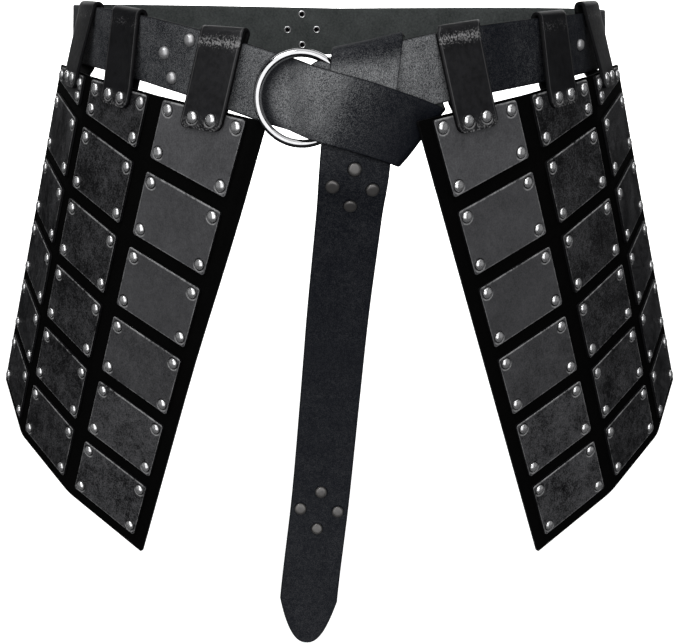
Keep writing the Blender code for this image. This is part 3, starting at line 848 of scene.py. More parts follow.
@dataclass(frozen=True)
class PanelFace:
    """A hip panel's face, leaning and bent twice in plan: s to the rear, t down, n out."""

    side: Side
    lean: float = math.radians(17.7)
    trail: float = math.radians(2.8)
    origin: Triple = (-0.0703, -0.1400, -0.0716)
    face: float = 0.0045
    heading: float = math.radians(32.9)
    bends: tuple = ((0.0624, math.radians(11.9)), (0.1386, math.radians(16.2)))
    bend_length: float = 0.0140
    top_at_front: float = -0.0416
    top_slope: float = 0.175

    @cached_property
    def down(self) -> Vector:
        """The direction down the left panel."""
        level, lean = math.cos(self.trail), self.lean
        return Vector((-math.sin(lean) * level, math.sin(self.trail), -math.cos(lean) * level))

    @cached_property
    def outward(self) -> Vector:
        """The direction away from the body, square to the lean."""
        return Vector((-math.cos(self.lean), 0.0, math.sin(self.lean)))

    @cached_property
    def rearward(self) -> Vector:
        """The direction to the rear, square to both others."""
        across = self.outward.cross(self.down).normalized()
        return across if across.y > 0 else -across

    def mirrored(self, vector: Vector) -> Vector:
        """A left panel's vector on this panel's side."""
        return Vector((vector.x * -self.side.value, vector.y, vector.z))

    @lru_cache(maxsize=4096)
    def plan(self, s: float) -> Triple:
        """Follow the panel's bends in plan.

        Args:
            s: the way to the rear.

        Returns:
            How far rearward and outward of s = 0 it is, and the heading there.
        """
        heading, at, rearward, outward = self.heading, 0.0, 0.0, 0.0
        for middle, sweep in self.bends:
            start = middle - self.bend_length / 2
            if s <= start:
                break
            rearward += (start - at) * math.sin(heading)
            outward += (start - at) * math.cos(heading)
            at = min(s, start + self.bend_length)
            radius = self.bend_length / sweep
            end = heading + (at - start) / radius
            rearward += radius * (math.cos(heading) - math.cos(end))
            outward += radius * (math.sin(end) - math.sin(heading))
            heading = end
        return (
            rearward + (s - at) * math.sin(heading),
            outward + (s - at) * math.cos(heading),
            heading,
        )

    def normal(self, s: float) -> Vector:
        """The outward direction at s."""
        heading = self.plan(s)[2]
        return self.mirrored(self.outward * math.sin(heading) - self.rearward * math.cos(heading))

    def point(self, s: float, t: float, n: float) -> Vector:
        """Place a point on the panel.

        Args:
            s: the way to the rear.
            t: the way down.
            n: how far outward of the inner face.

        Returns:
            The point.
        """
        rearward, outward, _ = self.plan(s)
        point = Vector(self.origin) + self.down * t
        point = point + self.rearward * rearward + self.outward * outward
        return self.mirrored(point) + self.normal(s) * (n - self.face)

    def top(self, s: float) -> float:
        """Where the upper edge lies at s."""
        return self.top_at_front + self.top_slope * s


# ---- sheet builders
@dataclass
class StrapSheet:
    """A strap lofted through rows of middle-surface points, with rounded edges."""

    rows: list[Row]
    thickness: float
    rounding: float = 0.0007
    outward: int = 1  # -1 where along x across points into the body
    doubled: int = 0  # this many first rows are finished alike on both faces
    climb: int = 1  # -1 where rivets sit on rows that run downward
    rivets: list[Flat] = field(default_factory=list)

    def _ring(self, index: int) -> list[tuple[Vector, int, int]]:
        """Close one row into a section with rounded edges.

        Args:
            index: of the row.

        Returns:
            For each point its place, its column in the row and its kind of face.
        """
        row, count = self.rows[index], len(self.rows[index])
        before = self.rows[max(0, index - 1)]
        after = self.rows[min(len(self.rows) - 1, index + 1)]
        normals = []
        for k in range(count):
            across = row[min(count - 1, k + 1)] - row[max(0, k - 1)]
            normals.append((after[k] - before[k]).cross(across).normalized() * self.outward)
        half, r = self.thickness / 2, self.rounding
        inner_face = 0 if index < self.doubled else 2
        ring = [(row[k] + normals[k] * half, k, 0) for k in range(1, count - 1)]
        for end, inner, sign in ((count - 1, count - 2, 1), (0, 1, -1)):
            out = row[end] - row[inner]
            arc = [math.radians(turn) for turn in (30, 60, 90)]
            profile = [(math.sin(a) - 1.0, half - r + r * math.cos(a)) for a in arc]
            profile += [(back, -up) for back, up in reversed(profile)]
            ring += [
                (row[end] + out * back + normals[end] * up * sign, end, 1) for back, up in profile
            ]
            if sign == 1:
                places = range(count - 2, 0, -1)
                ring += [(row[k] - normals[k] * half, k, inner_face) for k in places]
        return ring

    def build(self, name: str, materials: Sequence[Material], **marks: Sequence) -> Object:
        """Make the strap's object.

        Args:
            name: the piece's name.
            materials: outer face, cut edge and inner face.
            marks: a value for each row, or one for each of its edges, stored on its points.

        Returns:
            The object, whose UV maps are "flat", in metres along and across, and "seat",
            the offset from the nearest rivet.
        """
        bm = bmesh.new()
        rim = bm.verts.layers.float.new("rim")
        layers = {mark: bm.verts.layers.float.new(mark) for mark in marks}
        rings, widths = [], []
        along = running([row[len(row) // 2] for row in self.rows])
        for index, row in enumerate(self.rows):
            lengths = running(row)
            widths.append([length - lengths[-1] / 2 for length in lengths])
            ring = []
            for place, k, kind in self._ring(index):
                vert = bm.verts.new(place)
                vert[rim] = min(lengths[k], lengths[-1] - lengths[k])
                for mark, values in marks.items():
                    value = values[index]
                    if isinstance(value, tuple):
                        value = value[0] + (value[1] - value[0]) * lengths[k] / lengths[-1]
                    vert[layers[mark]] = value
                ring.append((vert, k, kind))
            rings.append(ring)
        flat = bm.loops.layers.uv.new("flat")
        seat = bm.loops.layers.uv.new("seat")
        for i in range(len(rings) - 1):
            first, second = rings[i], rings[i + 1]
            for j in range(len(first)):
                n = (j + 1) % len(first)
                face = bm.faces.new((first[j][0], first[n][0], second[n][0], second[j][0]))
                kinds = {first[j][2], first[n][2]} - {1}
                face.material_index = min(kinds, default=1)
                face.smooth = True
                places = [(along[i], widths[i][first[corner][1]]) for corner in (j, n)]
                places += [(along[i + 1], widths[i + 1][second[corner][1]]) for corner in (n, j)]
                self._lay(face, places, flat, seat)
        for ring, turned in ((rings[0], False), (rings[-1], True)):
            verts = [vert for vert, _, _ in ring]
            cap = bm.faces.new(verts if turned else verts[::-1])
            cap.material_index = 1
        bmesh.ops.recalc_face_normals(bm, faces=bm.faces)
        return linked_mesh(name, bm, materials)

    def _lay(self, face: bmesh.types.BMFace, places: list[Flat], flat: object,
             seat: object) -> None:
        """Write a face's two maps.

        Args:
            face: the face.
            places: its corners on the strap laid out flat.
            flat: the layer of these places.
            seat: the layer of the offsets from the nearest rivet.
        """
        middle = Vector((sum(p[0] for p in places) / 4, sum(p[1] for p in places) / 4))
        near = nearest(self.rivets, middle)
        for loop, place in zip(face.loops, places):
            loop[flat].uv = place
            loop[seat].uv = (place[1] - near[1], (near[0] - place[0]) * self.climb)


def linked_mesh(name: str, bm: bmesh.types.BMesh, materials: Sequence[Material] = ()) -> Object:
    """Turn a bmesh into a linked object.

    Args:
        name: the object's name.
        bm: the mesh; it is freed.
        materials: the object's material slots.

    Returns:
        The object.
    """
    mesh = bpy.data.meshes.new(name)
    bm.to_mesh(mesh)
    bm.free()
    for material in materials:
        mesh.materials.append(material)
    obj = bpy.data.objects.new(name, mesh)
    bpy.context.scene.collection.objects.link(obj)
    return obj


def applied(obj: Object) -> Object:
    """Turn an object's modifiers into plain mesh, and remove them.

    Args:
        obj: the object.

    Returns:
        The same object with its new mesh.
    """
    bpy.context.view_layer.update()
    evaluated = obj.evaluated_get(bpy.context.evaluated_depsgraph_get())
    mesh = bpy.data.meshes.new_from_object(evaluated)
    obj.modifiers.clear()
    old = obj.data
    obj.data = mesh
    bpy.data.meshes.remove(old)
    mesh.name = obj.name
    return obj


@dataclass
class PatchSheet:
    """A sheet with rounded corners, cut flat and bent onto a hip panel."""

    face: PanelFace
    front: float
    rear: float
    top: Line
    bottom: Line
    corner: float
    inside: float
    thickness: float
    bevel: float
    rivets: list[Flat] = field(default_factory=list)
    levels: int = 2
    folds: Flat | None = None
    give: Stand = lambda s, t: 0.0
    corner_steps: int = 5

    def _stations(self) -> list[Flat]:
        """Choose the stations of the sheet.

        Returns:
            Their places to the rear, each with what the rounded corners take off there.
        """
        ends = round_corner(self.corner, self.corner_steps)
        along = [(self.front + back, taken) for back, taken in ends]
        inner = [self.front + self.corner, (self.front + self.rear) / 2, self.rear - self.corner]
        if self.folds:
            inner += steps(inner[0], self.folds[0], self.folds[1])
        for middle, _ in self.face.bends:
            half = self.face.bend_length / 2
            if self.front < middle - half and middle + half < self.rear:
                inner += steps(middle - half, middle + half, self.face.bend_length / 10)
        along += [(s, 0.0) for s in sorted(set(inner))[1:-1]]
        along += [(self.rear - back, taken) for back, taken in reversed(ends)]
        return along

    def build(self, name: str, materials: Sequence[Material], tone: float = 0.5) -> Object:
        """Make the sheet's object.

        Args:
            name: the piece's name.
            materials: outer face, cut edge and inner face.
            tone: its lightness, stored on its points.

        Returns:
            The object, whose UV maps are "rim", the ways from the nearer end and down from the
            nearer long edge, and "seat", the offset from the nearest rivet.
        """
        bm = bmesh.new()
        mark = bm.verts.layers.float.new("tone")
        rim = bm.loops.layers.uv.new("rim")
        seat = bm.loops.layers.uv.new("seat")
        columns = []
        for s, taken in self._stations():
            top, bottom = self.top(s) + taken, self.bottom(s) - taken
            column = []
            for t in steps(top, bottom, (bottom - top) / self.levels):
                depth = self.inside + self.thickness / 2 - self.give(s, t)
                vert = bm.verts.new(self.face.point(s, t, depth))
                vert[mark] = tone
                column.append((vert, s, t))
            columns.append(column)
        for first, second in zip(columns, columns[1:]):
            for k in range(self.levels):
                corners = (first[k], first[k + 1], second[k + 1], second[k])
                made = bm.faces.new([vert for vert, _, _ in corners])
                middle = Vector((sum(c[1] for c in corners) / 4, sum(c[2] for c in corners) / 4))
                near = nearest(self.rivets, middle)
                for loop, (_, s, t) in zip(made.loops, corners):
                    ends = min(s - self.front, self.rear - s)
                    edges = t - self.top(s) if k < self.levels / 2 else t - self.bottom(s)
                    loop[rim].uv = (ends, edges)
                    loop[seat].uv = (s - near[0], t - near[1])
        bm.normal_update()
        if next(iter(bm.faces)).normal.dot(self.face.normal(self.front)) < 0:
            bmesh.ops.reverse_faces(bm, faces=bm.faces)
        for made in bm.faces:
            made.smooth = True
        obj = linked_mesh(name, bm, materials)
        wall = obj.modifiers.new("wall", "SOLIDIFY")
        wall.thickness = self.thickness
        wall.offset = 0.0
        wall.material_offset = 2
        wall.material_offset_rim = 1
        edges = obj.modifiers.new("edges", "BEVEL")
        edges.width = self.bevel
        edges.segments = 3
        edges.limit_method = "ANGLE"
        edges.angle_limit = math.radians(50)
        edges.harden_normals = True
        return applied(obj)


# ---- geometry-node trees
class NodeShape(Tree):
    """A Geometry Nodes tree with named inputs."""

    def __init__(self, name: str, **inputs: str) -> None:
        """Start a tree that takes and gives a mesh.

        Args:
            name: the tree's name.
            inputs: its sizes, each with its kind.
        """
        self.tree = bpy.data.node_groups.new(name, "GeometryNodeTree")
        self.sockets: dict[str, str] = {}
        for title, kind in {"Geometry": "Geometry", **inputs, "Material": "Material"}.items():
            self.sockets[title] = self._socket(title, "INPUT", kind)
        self._socket("Geometry", "OUTPUT", "Geometry")
        self.given = self.add("NodeGroupInput").outputs
        self.result = self.add("NodeGroupOutput").inputs[0]

    def _socket(self, name: str, way: str, kind: str) -> str:
        """Add an input or an output to the tree; its identifier is returned."""
        kind = f"NodeSocket{kind}"
        return self.tree.interface.new_socket(name, in_out=way, socket_type=kind).identifier

    def tube(self, resolution: int, radius: Socket, facets: int, roll: Socket) -> Socket:
        """Bend a round wire into a closed ring.

        Args:
            resolution: facets along the ring.
            radius: the ring's radius.
            facets: facets round the wire.
            roll: the wire's radius.

        Returns:
            The ring's mesh.
        """
        curves = {}
        for end, count, size in (("Curve", resolution, radius), ("Profile Curve", facets, roll)):
            inputs = {"Resolution": count, "Radius": size}
            circle = self.add("GeometryNodeCurvePrimitiveCircle", None, inputs)
            curves[end] = circle.outputs[0]
        return self.add("GeometryNodeCurveToMesh", None, curves).outputs[0]

    def end(self, geometry: Socket) -> None:
        """Realize the instances, set the material and give the result.

        Args:
            geometry: what the tree has made.
        """
        real = self.add("GeometryNodeRealizeInstances", None, {0: geometry})
        inputs = {"Geometry": real.outputs[0], "Material": self.given["Material"]}
        self.feed(self.result, self.add("GeometryNodeSetMaterial", None, inputs).outputs[0])

    def end_on_heads(self, instance: Socket, **inputs: object) -> None:
        """Set a shape on every point of the mesh, turned to where the point faces, and end.

        Args:
            instance: the shape, which faces +Z.
            inputs: further inputs of the instances.
        """
        read = {"data_type": "FLOAT_VECTOR"}
        facing = self.add("GeometryNodeInputNamedAttribute", read, {"Name": "out"}).outputs[0]
        turn = self.add("FunctionNodeAlignRotationToVector", {"axis": "Z"}, {"Vector": facing})
        points = self.add("GeometryNodeMeshToPoints", None, {"Mesh": self.given["Geometry"]})
        inputs |= {"Points": points.outputs[0], "Instance": instance, "Rotation": turn.outputs[0]}
        self.end(self.add("GeometryNodeInstanceOnPoints", None, inputs).outputs[0])

    def run(self, name: str, bm: bmesh.types.BMesh, **values: object) -> Object:
        """Run the tree on a mesh and keep the plain result.

        Args:
            name: the new object's name.
            bm: what the tree takes; it is freed.
            values: its inputs by name.

        Returns:
            The object.
        """
        obj = linked_mesh(name, bm)
        nodes = obj.modifiers.new("shape", "NODES")
        nodes.node_group = self.tree
        for key, value in values.items():
            nodes[self.sockets[key]] = value
        made = applied(obj)
        made.data.shade_smooth()
        made.data.set_sharp_from_angle(angle=math.radians(40))
        return made


def heads_mesh(heads: Iterable[Head]) -> bmesh.types.BMesh:
    """Make loose points that carry their outward direction.

    Args:
        heads: each point's place and direction.

    Returns:
        The points.
    """
    bm = bmesh.new()
    out = bm.verts.layers.float_vector.new("out")
    for place, normal in heads:
        vert = bm.verts.new(place)
        vert[out] = normal
    return bm


class RivetShape:
    """Rivet heads, one at each point, from round domes to flat caps."""

    segments: int = 28
    rings: int = 20
    below: float = -0.2  # how far a head reaches under the leather, of its height
    spread: Flat = (0.96, 1.04)  # the smallest and the largest head

    def __init__(self) -> None:
        """Build the tree: a ball whose height is squared up by the crown."""
        shape = NodeShape("rivet_heads", Radius="Float", Height="Float", Crown="Float", Seed="Int")
        self.shape = shape
        sizes = (Shade(shape, shape.given[name]) for name in ("Radius", "Height", "Crown"))
        radius, height, crown = sizes
        facets = {"Segments": self.segments, "Rings": self.rings, "Radius": 1.0}
        ball = shape.add("GeometryNodeMeshUVSphere", None, facets)
        x, y, z = shape.split(shape.add("GeometryNodeInputPosition").outputs[0])
        rise = (1.0 - (x * x + y * y) ** (crown * 0.5)).at_least(0.0) ** (1.0 / crown)
        up = rise * z.math("SIGN").at_least(self.below) * height
        axes = {"X": x * radius, "Y": y * radius, "Z": up}
        place = shape.add("ShaderNodeCombineXYZ", None, axes)
        moved = {"Geometry": ball.outputs["Mesh"], "Position": place.outputs[0]}
        head = shape.add("GeometryNodeSetPosition", None, moved)
        limits = {2: self.spread[0], 3: self.spread[1], "Seed": shape.given["Seed"]}
        size = shape.add("FunctionNodeRandomValue", {"data_type": "FLOAT"}, limits)
        shape.end_on_heads(head.outputs[0], Scale=size.outputs[1])

    def build(self, name: str, heads: Iterable[Head], radius: float, height: float,
              material: Material, crown: float = 2.2, seed: int = 3) -> Object:
        """Set rivets.

        Args:
            name: the piece's name.
            heads: each rivet's place on the leather and its outward direction.
            radius: of the head.
            height: of its top above the leather.
            material: the metal.
            crown: 2 for a round dome, more for a flatter top with a rounded shoulder.
            seed: for the small differences in size.

        Returns:
            One mesh of all of them.
        """
        sizes = {"Radius": radius, "Height": height, "Crown": crown, "Seed": seed}
        return self.shape.run(name, heads_mesh(heads), Material=material, **sizes)


class TubeEndShape:
    """Rolled ends of tubular rivets, open in the middle."""

    facets: int = 28
    roll_facets: int = 10

    def __init__(self) -> None:
        """Build the tree."""
        self.shape = shape = NodeShape("tube_ends", Radius="Float", Roll="Float")
        given = shape.given
        tube = shape.tube(self.facets, given["Radius"], self.roll_facets, given["Roll"])
        shape.end_on_heads(tube)

    def build(self, name: str, heads: Iterable[Head], radius: float, roll: float,
              material: Material) -> Object:
        """Make the ends.

        Args:
            name: the piece's name.
            heads: each end's place and outward direction.
            radius: to the middle of the rolled edge.
            roll: radius of the rolled edge.
            material: the metal.

        Returns:
            One mesh of all of them.
        """
        return self.shape.run(name, heads_mesh(heads), Radius=radius, Roll=roll, Material=material)


# ---- the strap
class Lap(Enum):
    """The laps of the strap in the knot, as columns of the table of stand-offs."""

    MAIN = 1
    SHORT_END = 2
    RETURN = 3
    FALL = 4
    BAND = 5


class Fold:
    """A turn of the flat strap over a slanting line, from one lap to another."""

    def __init__(self, strap: "BeltStrap", middle: Flat, travel: float, line: float, reach: float,
                 laps: tuple[Lap, Lap]) -> None:
        """Lay the fold out.

        Args:
            strap: the strap it belongs to.
            middle: of the fold's line, as (u, z).
            travel: direction in which the strap arrives.
            line: direction of the fold's line.
            reach: how far the strap bows out past the line.
            laps: the lap before the fold and the one after it.
        """
        self.strap = strap
        self.middle = Vector(middle)
        self.along = Vector((math.cos(line), math.sin(line)))
        self.out = Vector((self.along.y, -self.along.x))
        heading = Vector((math.cos(travel), math.sin(travel)))
        if heading.dot(self.out) < 0:
            self.out = -self.out
        self.half = strap.width / 2 / heading.dot(self.out)
        self.reach = reach
        self.first, self.second = (strap.stand(lap) for lap in laps)
        depth = abs(self.first(*middle) - self.second(*middle)) / 2
        length = math.pi * (reach + depth) / 2
        self.creep = strap.fold_slide * length * heading.dot(self.along) / heading.dot(self.out)

    def edge(self, side: float, turned: float = 0.0) -> Vector:
        """End of the fold's line on one edge of the strap; turned runs from 0 to 1."""
        return self.middle + self.along * (self.creep * turned + side * self.half)

    def sections(self) -> list[Row]:
        """Go round the turn.

        Returns:
            Rows of points from the first lap to the second, without either.
        """
        rows = []
        for j in range(1, self.strap.fold_facets):
            turned = j / self.strap.fold_facets
            share = (1 - math.cos(math.pi * turned)) / 2

            def stand(u: float, z: float, share: float = share) -> float:
                """Stand-off between the two laps."""
                return self.first(u, z) * (1 - share) + self.second(u, z) * share

            row = []
            for part in self.strap.shares:
                bow = self.out * self.reach * math.sin(math.pi * turned)
                at = self.edge(2 * part - 1, turned) + bow
                row.append(self.strap.wall.lap(at.x, at.y, stand))
            rows.append(row)
        return rows


class Stretch(Enum):
    """The stretches of the strap, from its folded-back end to the tail's tip."""

    SHORT_END = auto()
    RIGHT_BELT = auto()
    LEFT_BELT = auto()
    BAND = auto()
    RETURN = auto()
    FALL = auto()
    TAIL = auto()


@dataclass
class BeltStrap:
    """The one long strap: folded round the ring, worn round the waist, knotted, and hanging."""

    wall: WaistWall
    width: float = 0.038
    thickness: float = 0.0026
    edge: float = 0.0007  # from its outermost places to the next ones
    across: int = 12
    facet: float = 0.0040
    knot_facet: float = 0.0022
    fold_facets: int = 14
    fold_slide: float = 0.6
    laps: tuple = (
        # u, main, short end, return, fall, band: how far each lap stands off the wall
        (-0.060, -0.0000, 0.0000, -0.0060, 0.0070, 0.0000),
        (-0.046, -0.0038, 0.0042, -0.0070, 0.0074, 0.0000),
        (-0.034, -0.0038, 0.0044, -0.0070, 0.0075, 0.0000),
        (-0.028, -0.0040, 0.0044, -0.0072, 0.0075, -0.0004),
        (-0.022, -0.0040, 0.0044, -0.0072, 0.0075, 0.0036),
        (-0.016, -0.0040, 0.0045, -0.0072, 0.0075, 0.0086),
        (-0.009, -0.0040, 0.0047, -0.0072, 0.0077, 0.0113),
        (0.000, -0.0033, 0.0054, -0.0065, 0.0085, 0.0119),
        (0.007, -0.0026, 0.0054, -0.0058, 0.0085, 0.0119),
        (0.014, -0.0014, 0.0040, -0.0045, 0.0074, 0.0110),
        (0.021, -0.0008, 0.0032, -0.0040, 0.0058, 0.0096),
        (0.028, -0.0003, 0.0032, -0.0035, 0.0044, 0.0082),
        (0.034, 0.0000, 0.0032, -0.0032, 0.0036, 0.0068),
        (0.040, 0.0000, 0.0032, -0.0032, 0.0033, 0.0050),
        (0.046, 0.0000, 0.0032, -0.0032, 0.0033, 0.0036),
        (0.056, 0.0000, 0.0032, -0.0032, 0.0033, 0.0031),
        (0.075, 0.0000, 0.0032, -0.0032, 0.0033, 0.0031),
    )
    tuck_depth: float = 0.0026
    tuck_u: Flat = (0.036, 0.046)
    tuck_down: Flat = (0.028, 0.034)
    ring_fold_u: float = -0.0085
    ring_fold_cut: float = 0.0028
    short_end_u: float = 0.013
    short_end_width: float = 0.030
    knot_width: float = 0.0364
    pared_u: Flat = (0.020, 0.045)
    band_start_u: float = -0.052
    lower_fold_u: float = 0.0434
    lower_fold_angle: float = math.radians(44.0)
    lower_fold_reach: float = 0.0036
    upper_fold_angle: float = math.radians(11.0)
    upper_fold_middle: Flat = (0.0185, 0.0048)
    upper_fold_reach: float = 0.0032
    fall_travel: float = math.radians(-100.0)
    tail_run: tuple = (
        # height (from the tip up), y and x of the strap's middle
        (-0.3715, -0.1788, -0.0225), (-0.3400, -0.1685, -0.0202), (-0.2800, -0.1510, -0.0128),
        (-0.2100, -0.1420, -0.0062), (-0.1500, -0.1420, -0.0009), (-0.0950, -0.1495, 0.0047),
        (-0.0600, -0.1570, 0.0080), (-0.0300, -0.1600, 0.0103),
    )
    tail_tilt: float = math.radians(-5.4)
    tail_leaves: Flat = (-0.050, -0.085)
    tail_point: float = 0.0275
    tail_power: float = 0.42
    tail_blunt: float = 0.06
    tail_facet: float = 0.0035
    point_facets: int = 22
    tail_groups: tuple = ((-0.0694, 0.0110), (-0.2851, 0.0123))
    belt_rivets: tuple = (
        # u, height above the strap's middle line
        (-0.1164, 0.0013), (-0.0952, 0.0122), (-0.1095, -0.0116), (0.1945, -0.0002),
    )
    back_group: Triple = (-0.5008, 0.0005, 0.0125)
    rivet_radius: float = 0.0038
    dome_height: float = 0.0030
    cap_height: float = 0.0018
    cap_crown: float = 4.0
    tube_radius: float = 0.0025
    tube_roll: float = 0.0007
    # a black disc in each tube end's hollow stands for the painted shade inside it
    hollow_radius: float = 0.0021
    hollow_height: float = 0.0002
    tones: tuple = (
        # the lightness is partly painted light and shade: light where the strap faces the lamps
        # stretch; the share of the way along it, and the lightness there at its two edges
        (Stretch.SHORT_END, ((0.0, 0.36, 0.36), (1.0, 0.36, 0.36))),
        (Stretch.RIGHT_BELT, (
            (0.0, 0.37, 0.37), (0.235, 0.37, 0.37), (0.265, 0.06, 0.06), (0.34, 0.05, 0.05),
            (0.5, 0.036, 0.036), (1.0, 0.036, 0.036),
        )),
        (Stretch.LEFT_BELT, (
            (0.0, 0.05, 0.05), (0.45, 0.05, 0.05), (0.62, 0.07, 0.07), (0.72, 0.12, 0.13),
            (0.90, 0.14, 0.16), (0.94, 0.28, 0.26), (1.0, 0.31, 0.28),
        )),
        (Stretch.BAND, (
            (0.0, 0.33, 0.30), (0.16, 0.38, 0.34), (0.25, 0.42, 0.44), (0.32, 0.28, 0.48),
            (0.39, 0.12, 0.40), (0.46, 0.06, 0.15), (0.55, 0.035, 0.05), (0.68, 0.018, 0.018),
            (0.85, 0.006, 0.005), (1.0, 0.004, 0.004),
        )),
        (Stretch.RETURN, ((0.0, 0.02, 0.02), (1.0, 0.04, 0.04))),
        (Stretch.FALL, (
            (0.0, 0.045, 0.045), (0.46, 0.045, 0.04), (0.57, 0.13, 0.06), (0.68, 0.46, 0.40),
            (1.0, 0.42, 0.42),
        )),
        (Stretch.TAIL, ((0.0, 0.10, 0.10), (0.06, 0.028, 0.028), (1.0, 0.027, 0.027))),
    )

    @cached_property
    def shares(self) -> list[float]:
        """Choose the places across the strap, closer at the edges.

        Returns:
            Shares of the width.
        """
        edge = self.edge / self.width
        inner = [k / self.across for k in range(1, self.across)]
        return [0.0, edge, *inner, 1.0 - edge, 1.0]

    def stand(self, lap: Lap) -> Stand:
        """Look up how far one lap of the knot stands off the wall.

        Args:
            lap: the lap.

        Returns:
            A function that gives the stand-off at u and z.
        """

        def stand(u: float, z: float) -> float:
            """Read the stand-off at one place.

            Args:
                u: the way along the waist.
                z: height.

            Returns:
                The stand-off.
            """
            v = interpolate(self.laps, u, lap.value)
            if lap in (Lap.BAND, Lap.RETURN):
                v -= self.tuck_depth * smoothstep(u, *self.tuck_u) * smoothstep(-z, *self.tuck_down)
            return v

        return stand

    def _belt(self, line: Line, places: Iterable[float],
              stand: Stand | None = None,
              width: Line | None = None) -> list[Row]:
        """Sections square to the strap along its middle line.

        Args:
            line: height of the middle at u.
            places: the values of u.
            stand: stand-off from the wall; none means on it.
            width: of the strap at u; none means the plain width.

        Returns:
            Rows of points.
        """
        rows = []
        for u in places:
            slope = slope_at(line, u)
            whole = width(u) if width else self.width
            row = []
            for part in self.shares:
                w = whole * (part - 0.5)
                at = (u - w * math.sin(slope), line(u) + w * math.cos(slope))
                row.append(self.wall.lap(*at, stand or (lambda u, z: 0.0)))
            rows.append(row)
        return rows

    def _ring_fold(self) -> list[Row]:
        """Turn the strap's end round the ring's wire.

        Returns:
            Rows of points from the short end to the belt, without either.
        """
        rows = []
        u0, line = self.ring_fold_u, self.wall.right
        slope = slope_at(line, u0, 0.0, 0.001)
        outer, inner = self.stand(Lap.SHORT_END), self.stand(Lap.MAIN)
        for j in range(1, self.fold_facets):
            turn = math.pi * j / self.fold_facets
            row = []
            for part in self.shares:
                w = self.knot_width * (part - 0.5) - self.ring_fold_cut * math.sin(turn) * part
                u, z = u0 - w * math.sin(slope), line(u0) + w * math.cos(slope)
                reach = (outer(u, z) - inner(u, z)) / 2
                v = (outer(u, z) + inner(u, z)) / 2 + reach * math.cos(turn)
                row.append(self.wall.point(u - reach * math.sin(turn), z, v))
            rows.append(row)
        return rows

    def _flat(self, low: Sequence[Flat], high: Sequence[Flat], lap: Lap) -> list[Row]:
        """Lay a flat lap between two edges.

        Args:
            low: points of its first edge, as (u, z).
            high: points of its second edge.
            lap: which lap it is.

        Returns:
            Rows of points.
        """
        rows, stand = [], self.stand(lap)
        for (u, z), (far_u, far_z) in zip(low, high):
            run, rise = far_u - u, far_z - z
            places = [(u + run * part, z + rise * part) for part in self.shares]
            rows.append([self.wall.lap(*place, stand) for place in places])
        return rows

    def _straight(self, low: tuple[Vector, Vector], high: tuple[Vector, Vector],
                  lap: Lap) -> list[Row]:
        """Lay a flat lap whose two edges run straight.

        Args:
            low: the ends of its first edge, as (u, z).
            high: the ends of its second edge.
            lap: which lap it is.

        Returns:
            Rows of points.
        """
        count = max(2, round((low[1] - low[0]).length / self.knot_facet))
        first, second = (
            [a.lerp(b, k / count).to_tuple() for k in range(count + 1)] for a, b in (low, high)
        )
        return self._flat(first, second, lap)

    def tail_at(self, w: float, z: float, v: float) -> Vector:
        """Place a point of the tail.

        Args:
            w: the way across from its middle.
            z: height.
            v: how far outward of its middle surface.

        Returns:
            The point.
        """
        x = interpolate(self.tail_run, z, 2) + w * math.cos(self.tail_tilt)
        height = z + w * math.sin(self.tail_tilt)
        worn = self.wall.lap(x, height, lambda u, at: self.stand(Lap.FALL)(u, at) + v)
        hung = Vector((x, interpolate(self.tail_run, z, 1) - v, height))
        return worn.lerp(hung, smoothstep(-z, -self.tail_leaves[0], -self.tail_leaves[1]))

    def _tail(self) -> list[Row]:
        """Lay out the hanging tail.

        Returns:
            Rows of points from the knot to the pointed end.
        """
        tip, top = self.tail_run[0][0], self.tail_run[-1][0]
        shoulder = tip + self.tail_point
        turns = [math.pi / 2 * k / self.point_facets for k in range(1, self.point_facets + 1)]
        heights = steps(top, shoulder, self.tail_facet)
        heights += [shoulder - self.tail_point * math.sin(turn) for turn in turns]
        rows = []
        for z in heights:
            left = min(1.0, max(0.0, (z - tip) / self.tail_point))
            half = self.width / 2 * max(self.tail_blunt, left ** self.tail_power)
            rows.append([self.tail_at(half * (2 * part - 1), z, 0.0) for part in self.shares])
        return rows

    def stretches(self) -> list[tuple[Stretch, list[Row]]]:
        """Lay out the whole strap.

        Returns:
            Its stretches in order, each with its rows.
        """
        wall, end = self.wall, self.laps[-1][0]

        def end_width(u: float) -> float:
            """Width of the folded-back end."""
            taper = smoothstep(u, self.ring_fold_u, 0.0)
            return self.knot_width + (self.short_end_width - self.knot_width) * taper

        def main_width(u: float) -> float:
            """Width of the right belt, pared down by the ring."""
            return self.knot_width + (self.width - self.knot_width) * smoothstep(u, *self.pared_u)

